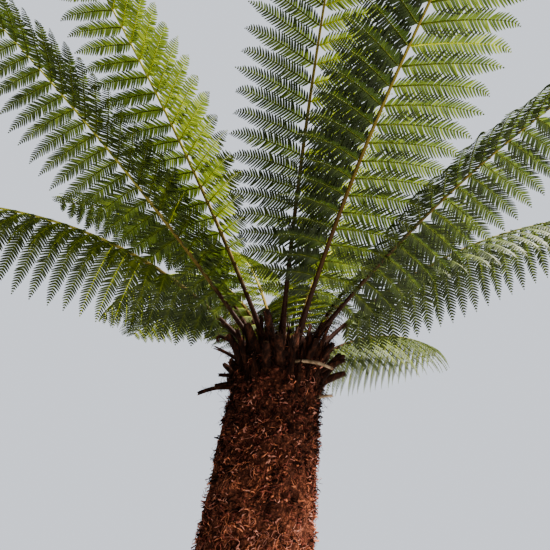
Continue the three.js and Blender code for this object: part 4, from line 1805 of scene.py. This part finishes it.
    def build_leaves(self, leaflets: list[Leaflet], finishes: list[Material], random: Random) -> Piece:
        """Makes all small leaves of the frond as one joined mesh.

        Args:
            leaflets: The leaflets that bear them.
            finishes: The materials of the tints.
            random: The source of chance.

        Returns:
            The leaves.
        """
        gathered = zip(*(self.leaf_roots(leaflet, random) for leaflet in leaflets))
        roots, ways, normals, bends, lengths, halves, tints = map(np.concatenate, gathered)
        side = np.cross(ways, normals)
        sags = self.leaf_curl * random.uniform(*self.leaf_curl_range, len(roots)) * lengths
        rows, places = [], []
        for reach, wide in (*self.leaf_stations, (1.0, 0.0)):
            middle = roots + ways * (lengths * reach)[:, None] - normals * (sags * reach**2)[:, None]
            middle = middle + bends * (self.leaf_sweep * lengths * reach**2)[:, None]
            edge = side * (halves * wide)[:, None]
            drop = normals * (self.leaf_roof * halves * wide * min(1.0, reach / self.roof_reach))[:, None]
            rows += [middle - edge - drop, middle, middle + edge - drop] if wide else [middle]
            places += [reach] * (3 if wide else 1)
        points = np.stack(rows, axis=1)
        each = len(rows)
        first = (np.arange(len(roots)) * each)[:, None, None]
        quads = []
        for j in range(len(self.leaf_stations) - 1):
            a, b = 3 * j, 3 * j + 3
            quads += [[a, a + 1, b + 1, b], [a + 1, a + 2, b + 2, b + 1]]
        end = 3 * len(self.leaf_stations) - 3
        ends = [[end, end + 1, each - 1], [end + 1, end + 2, each - 1]]
        quads = (first + np.array(quads)[None]).reshape(-1, 4)
        ends = (first + np.array(ends)[None]).reshape(-1, 3)
        joined = JoinedMesh()
        slots = [np.repeat(tints, len(quads) // len(roots)), np.repeat(tints, 2)]
        joined.add(points, [quads, ends], slots, np.tile(places, len(roots)))
        return joined.make(f"leaves_{self.number:02d}", finishes)

    def build_stalk(self, leaflets: list[Leaflet], finishes: list[Material], random: Random) -> Piece:
        """Makes the stalk, its side ribs and the hairs at its foot as one joined mesh.

        Args:
            leaflets: The leaflets whose ribs it bears.
            finishes: The materials of the stalk, the lit and the shaded side ribs, and the hairs.
            random: The source of chance.

        Returns:
            The stalk.
        """
        joined = JoinedMesh()
        sunk = [-self.seat_sunk / self.plan.length]
        shares = np.concatenate([sunk, np.linspace(0, 1, self.line_steps + 1)])
        places = [self.rib_place(share) for share in shares]
        widths = np.array([self.width_at(share) for share in shares])
        swell = np.clip(1 - shares / self.bare_share, 0, 1) ** self.foot_swell_power
        widths = widths * (1 + self.foot_swell * swell)
        ups = np.array([at.up for at in places])
        path = np.array([at.point for at in places]) - ups * (self.stalk_drop * widths)[:, None]
        across, depth = (part * widths[None] for part in self.stalk_section)
        points, faces = tubes(path[None], ups[None], across, depth, self.stalk_sides)
        joined.add(points, faces, 0, np.repeat(shares, self.stalk_sides))
        for leaflet in leaflets:
            self.add_side_rib(joined, leaflet)
        self.add_hairs(joined, places, widths, random)
        return joined.make(f"stalk_{self.number:02d}", finishes)

    def add_side_rib(self, joined: JoinedMesh, leaflet: Leaflet) -> None:
        """Adds the rib of one leaflet, a slim tube just under its small leaves.

        Args:
            joined: The mesh that takes it.
            leaflet: The leaflet.
        """
        chosen = np.unique(np.linspace(0, len(leaflet.points) - 1, self.costa_steps).round().astype(int))
        share = chosen / (len(leaflet.points) - 1)
        full = min(1.0, self.costa_least + leaflet.length / self.costa_full_length)
        radii = self.costa_radius * full * (1 - self.costa_taper * share)
        normals = leaflet.normals[chosen]
        path = leaflet.points[chosen] - normals * (radii * self.costa_sunk)[:, None]
        shape = tubes(path[None], normals[None], radii[None], radii[None], HAIR_SIDES)
        joined.add(*shape, 1 if leaflet.level > self.lit_rib_level else 2)

    def add_hairs(self, joined: JoinedMesh, places: list[RibPlace], widths: Array, random: Random) -> None:
        """Adds the dark hairs round the foot of the stalk.

        Args:
            joined: The mesh that takes them.
            places: The stations of the rib.
            widths: The rib's width at the stations.
            random: The source of chance.
        """
        count = self.hairs
        station = (random.random(count) ** self.hair_low_bias * self.hair_stations).astype(int) + 1
        turn = random.random(count) * 2 * np.pi
        fields = ("point", "along", "right", "up")
        point, along, right, up = (np.array([getattr(places[i], name) for i in station]) for name in fields)
        centre = point - up * self.stalk_drop * widths[station][:, None]
        out = right * np.cos(turn)[:, None] + up * np.sin(turn)[:, None]
        root = centre + along * random.uniform(0, self.hair_reach, count)[:, None]
        root = root + out * (widths[station] * self.hair_depth)[:, None]
        reach = random.uniform(*self.hair_length, count)[:, None]
        lean = along * random.uniform(*self.hair_lean, count)[:, None]
        lean = lean + random.normal(0, self.hair_spread, (count, 3))
        half = root + (out + self.hair_stiffness * lean) * reach * 0.5
        steps = [root, half, root + (out + lean) * reach]
        joined.add(*thin_hairs(steps, self.hair_radii, along), 3)

    def dress(self, leaf_tints: list[Material], stalk_finishes: list[Material]) -> None:
        """Builds the frond's leaves and stalk and hands them over.

        Args:
            leaf_tints: The materials of the leaf tints.
            stalk_finishes: The materials of the stalk, the lit and the shaded side ribs, and the hairs.
        """
        random = np.random.default_rng(100 + self.number)
        leaflets = self.leaflets(random)
        hand_over(self.build_leaves(leaflets, leaf_tints, random), "frond", self.node)
        hand_over(self.build_stalk(leaflets, stalk_finishes, random), "frond", self.node)


@dataclass
class Crown:
    """All fronds with the finishes that they share."""

    trunk: Trunk
    plans: tuple[FrondPlan, ...] = (
        FrondPlan(-80, -98, 56, 24, 2.0, 0.345, 5, (25, 25), 0, Light.SUNLIT, Light.MIXED),
        FrondPlan(
            -69, -67, 41, 9, 2.0, 0.375, 5, (25, 40), 0, Light.MIXED, Light.DEEP,
            fullness=1.25, hooked=Side.RIGHT,
        ),
        FrondPlan(
            -125, -124, 51, 32, 2.0, 0.34, 5, (17, 25), 14, Light.BRIGHT, Light.MIXED, True, hooked=Side.LEFT
        ),
        FrondPlan(
            -143, -146, 44, 32, 2.0, 0.39, 8, (25, 35), 0, Light.MIXED, Light.MIXED, True, hooked=Side.LEFT
        ),
        FrondPlan(
            -32, -40, 42, 17, 2.0, 0.37, 8, (30, 45), 0, Light.SHADED, Light.SHADED,
            fullness=1.15, hooked=Side.RIGHT, leaf_spacing=0.0135,
        ),
        FrondPlan(2, -10, 45, 5, 2.0, 0.39, 28, (40, 54), 0, Light.MIXED, Light.SHADED, leaf_spacing=0.0165),
        FrondPlan(
            -159, -170, 44, -31, 2.0, 0.39, 34, (45, 45), 0, Light.BRIGHT, Light.MIXED, True,
            fullness=0.9, leaf_spacing=0.0135,
        ),
        FrondPlan(
            48, 38, 36, 4, 1.7, 0.39, 34, (46, 46), 0, Light.BRIGHT, Light.MIXED,
            fullness=0.8, leaf_spacing=0.0145,
        ),
        FrondPlan(148, 136, 75, -36, 1.7, 0.33, 25, (50, 50), 0, Light.BRIGHT, Light.BRIGHT, True),
        FrondPlan(102, 115, 46, 12, 1.85, 0.33, 8, (34, 34), 0, Light.MIXED, Light.MIXED, True, skyward=5),
        FrondPlan(63, 55, 71, 34, 1.6, 0.33, 5, (30, 30), 0, Light.BRIGHT, Light.BRIGHT, True, skyward=5),
        FrondPlan(114, 98, 71, 34, 1.6, 0.33, 5, (30, 30), 0, Light.BRIGHT, Light.BRIGHT, True, skyward=5),
        FrondPlan(24, 18, 64, 14, 1.85, 0.33, 5, (32, 32), 0, Light.MIXED, Light.MIXED, skyward=3),
        FrondPlan(128, 155, 48, -2, 1.9, 0.33, 5, (32, 32), 0, Light.MIXED, Light.BRIGHT, skyward=5),
        FrondPlan(169, 174, 67, 10, 1.85, 0.33, 5, (32, 32), 0, Light.MIXED, Light.MIXED, skyward=3),
        FrondPlan(82, 76, 57, 24, 1.7, 0.33, 6, (32, 32), 0, Light.MIXED, Light.MIXED, skyward=5),
    )
    tints: int = 6
    # The ends of the leaf tints' scale, for blade, glow and core: painted shade at the deepest, painted
    # sunlight at the brightest.
    deepest: Colour = (0.017, 0.024, 0.009)
    brightest: Colour = (0.115, 0.142, 0.030)
    deepest_glow: Colour = (0.020, 0.034, 0.006)
    brightest_glow: Colour = (0.25, 0.30, 0.036)
    deepest_core: Colour = (0.035, 0.050, 0.010)
    brightest_core: Colour = (0.36, 0.42, 0.050)

    def tint(self, step: int) -> Material:
        """The material of one leaf tint, on an even scale from painted shade to painted sunlight.

        Args:
            step: The tint's place on the scale, from 0.

        Returns:
            The material.
        """
        share = step / (self.tints - 1)
        ends = (
            (self.deepest, self.brightest),
            (self.deepest_glow, self.brightest_glow),
            (self.deepest_core, self.brightest_core),
        )
        colours = [tuple(low ** (1 - share) * high**share for low, high in zip(*pair)) for pair in ends]
        return LeafFinish(f"leaf tint {step + 1}", *colours).build()

    def dress(self) -> None:
        """Builds every frond."""
        leaf_tints = [self.tint(step) for step in range(self.tints)]
        stalks = {
            False: StalkFinish("shaded stalk").build(),
            True: StalkFinish("sunlit stalk", golden=(0.13, 0.095, 0.028), blade=(0.25, 0.25, 0.055)).build(),
        }
        smooth = {"roughness": (0.45, 0.65), "bump": 0.2, "bump_depth": 0.001}
        tones = (0.20, 0.24, 0.028), (0.34, 0.39, 0.045), (0.48, 0.52, 0.08)
        lit_rib = FibreFinish("sunlit side rib", *tones, **smooth)
        tones = (0.035, 0.046, 0.009), (0.07, 0.085, 0.014), (0.12, 0.14, 0.024)
        dark_rib = FibreFinish("shaded side rib", *tones, **smooth)
        hair = FibreFinish("foot hair", (0.012, 0.005, 0.004), (0.035, 0.014, 0.008), (0.08, 0.034, 0.018))
        others = [lit_rib.build(), dark_rib.build(), hair.build()]
        for i, plan in enumerate(self.plans):
            Frond(self.trunk, plan, i + 1).dress(leaf_tints, [stalks[plan.lit], *others])


@dataclass
class Studio:
    """The pale floor, the soft lights and the camera at the photo's angle."""

    camera_place: Triple = (0.176, -2.23, 1.50)
    camera_rise: float = math.radians(33)
    image_width: float = 550.0
    focal_pixels: float = 520.0
    sensor: float = 36.0
    floor_size: float = 60.0
    floor_colour: Colour = (0.72, 0.72, 0.70)
    sky_colour: Colour = (0.80, 0.84, 0.92)
    sky_seen: float = 0.95
    sky_lighting: float = 0.26
    key_place: Triple = (5.6, -2.4, 8.2)
    key_aim: Triple = (0.15, 0.0, 2.2)
    key_size: float = 0.9
    key_power: float = 4200.0
    key_colour: Colour = (1.0, 0.95, 0.86)

    def build_camera(self) -> None:
        """Makes the camera."""
        data = bpy.data.cameras.new("camera")
        data.lens = self.focal_pixels / self.image_width * self.sensor
        data.sensor_width = self.sensor
        camera = bpy.data.objects.new("camera", data)
        camera.location = self.camera_place
        camera.rotation_euler = (math.pi / 2 + self.camera_rise, 0, 0)
        bpy.context.scene.collection.objects.link(camera)
        bpy.context.scene.camera = camera

    def build_floor(self) -> None:
        """Makes the pale floor."""
        half = self.floor_size / 2
        corners = np.array([[-half, -half, 0], [half, -half, 0], [half, half, 0], [-half, half, 0]])
        material, sheet = new_material("pale floor")
        dullness = sheet.place(Effects.mottle(), {"Scale": 0.6, "Stretch": EVEN, "Low": 0.75, "High": 0.85})
        shader = sheet.put(
            "ShaderNodeBsdfPrincipled",
            {"Base Color": solid_colour(self.floor_colour), "Roughness": dullness},
        )
        sheet.put("ShaderNodeOutputMaterial", {"Surface": shader.outputs[0]})
        joined = JoinedMesh()
        joined.add(corners, [np.arange(4)[None]], 0)
        joined.make("floor", [material], smooth=False)

    def build_sky(self) -> None:
        """Makes the pale surroundings, seen brighter than they light."""
        world = bpy.data.worlds.new("surroundings")
        world.use_nodes = True
        world.node_tree.nodes.clear()
        sheet = NodeSheet(world.node_tree)
        rays = sheet.put("ShaderNodeLightPath")
        strength = sheet.put(
            "ShaderNodeMapRange",
            {"Value": rays.outputs["Is Camera Ray"], "To Min": self.sky_lighting, "To Max": self.sky_seen},
        )
        glow = sheet.put(
            "ShaderNodeBackground",
            {"Color": solid_colour(self.sky_colour), "Strength": strength.outputs["Result"]},
        )
        sheet.put("ShaderNodeOutputWorld", {"Surface": glow.outputs[0]})
        bpy.context.scene.world = world

    def build_key(self) -> None:
        """Makes the soft key light, high on the right."""
        data = bpy.data.lights.new("key", "AREA")
        data.shape = "DISK"
        data.size = self.key_size
        data.energy = self.key_power
        data.color = self.key_colour
        key = bpy.data.objects.new("key", data)
        key.location = self.key_place
        aim = Vector(self.key_aim) - Vector(self.key_place)
        key.rotation_euler = aim.to_track_quat("-Z", "Y").to_euler()
        bpy.context.scene.collection.objects.link(key)

    def dress(self) -> None:
        """Builds the studio."""
        self.build_camera()
        self.build_floor()
        self.build_sky()
        self.build_key()
        bpy.context.scene.view_settings.view_transform = "AgX"
        bpy.context.scene.view_settings.look = "AgX - Medium High Contrast"


def main() -> None:
    """Builds the studio and then the plant, from the ground up."""
    logging.basicConfig(level=logging.INFO, format="%(message)s")
    Studio().dress()
    trunk = Trunk()
    trunk.dress()
    Heart(trunk).dress()
    OldStalks(trunk).dress()
    Sheaths(trunk).dress()
    Crown(trunk).dress()


if __name__ == "__main__":
    main()
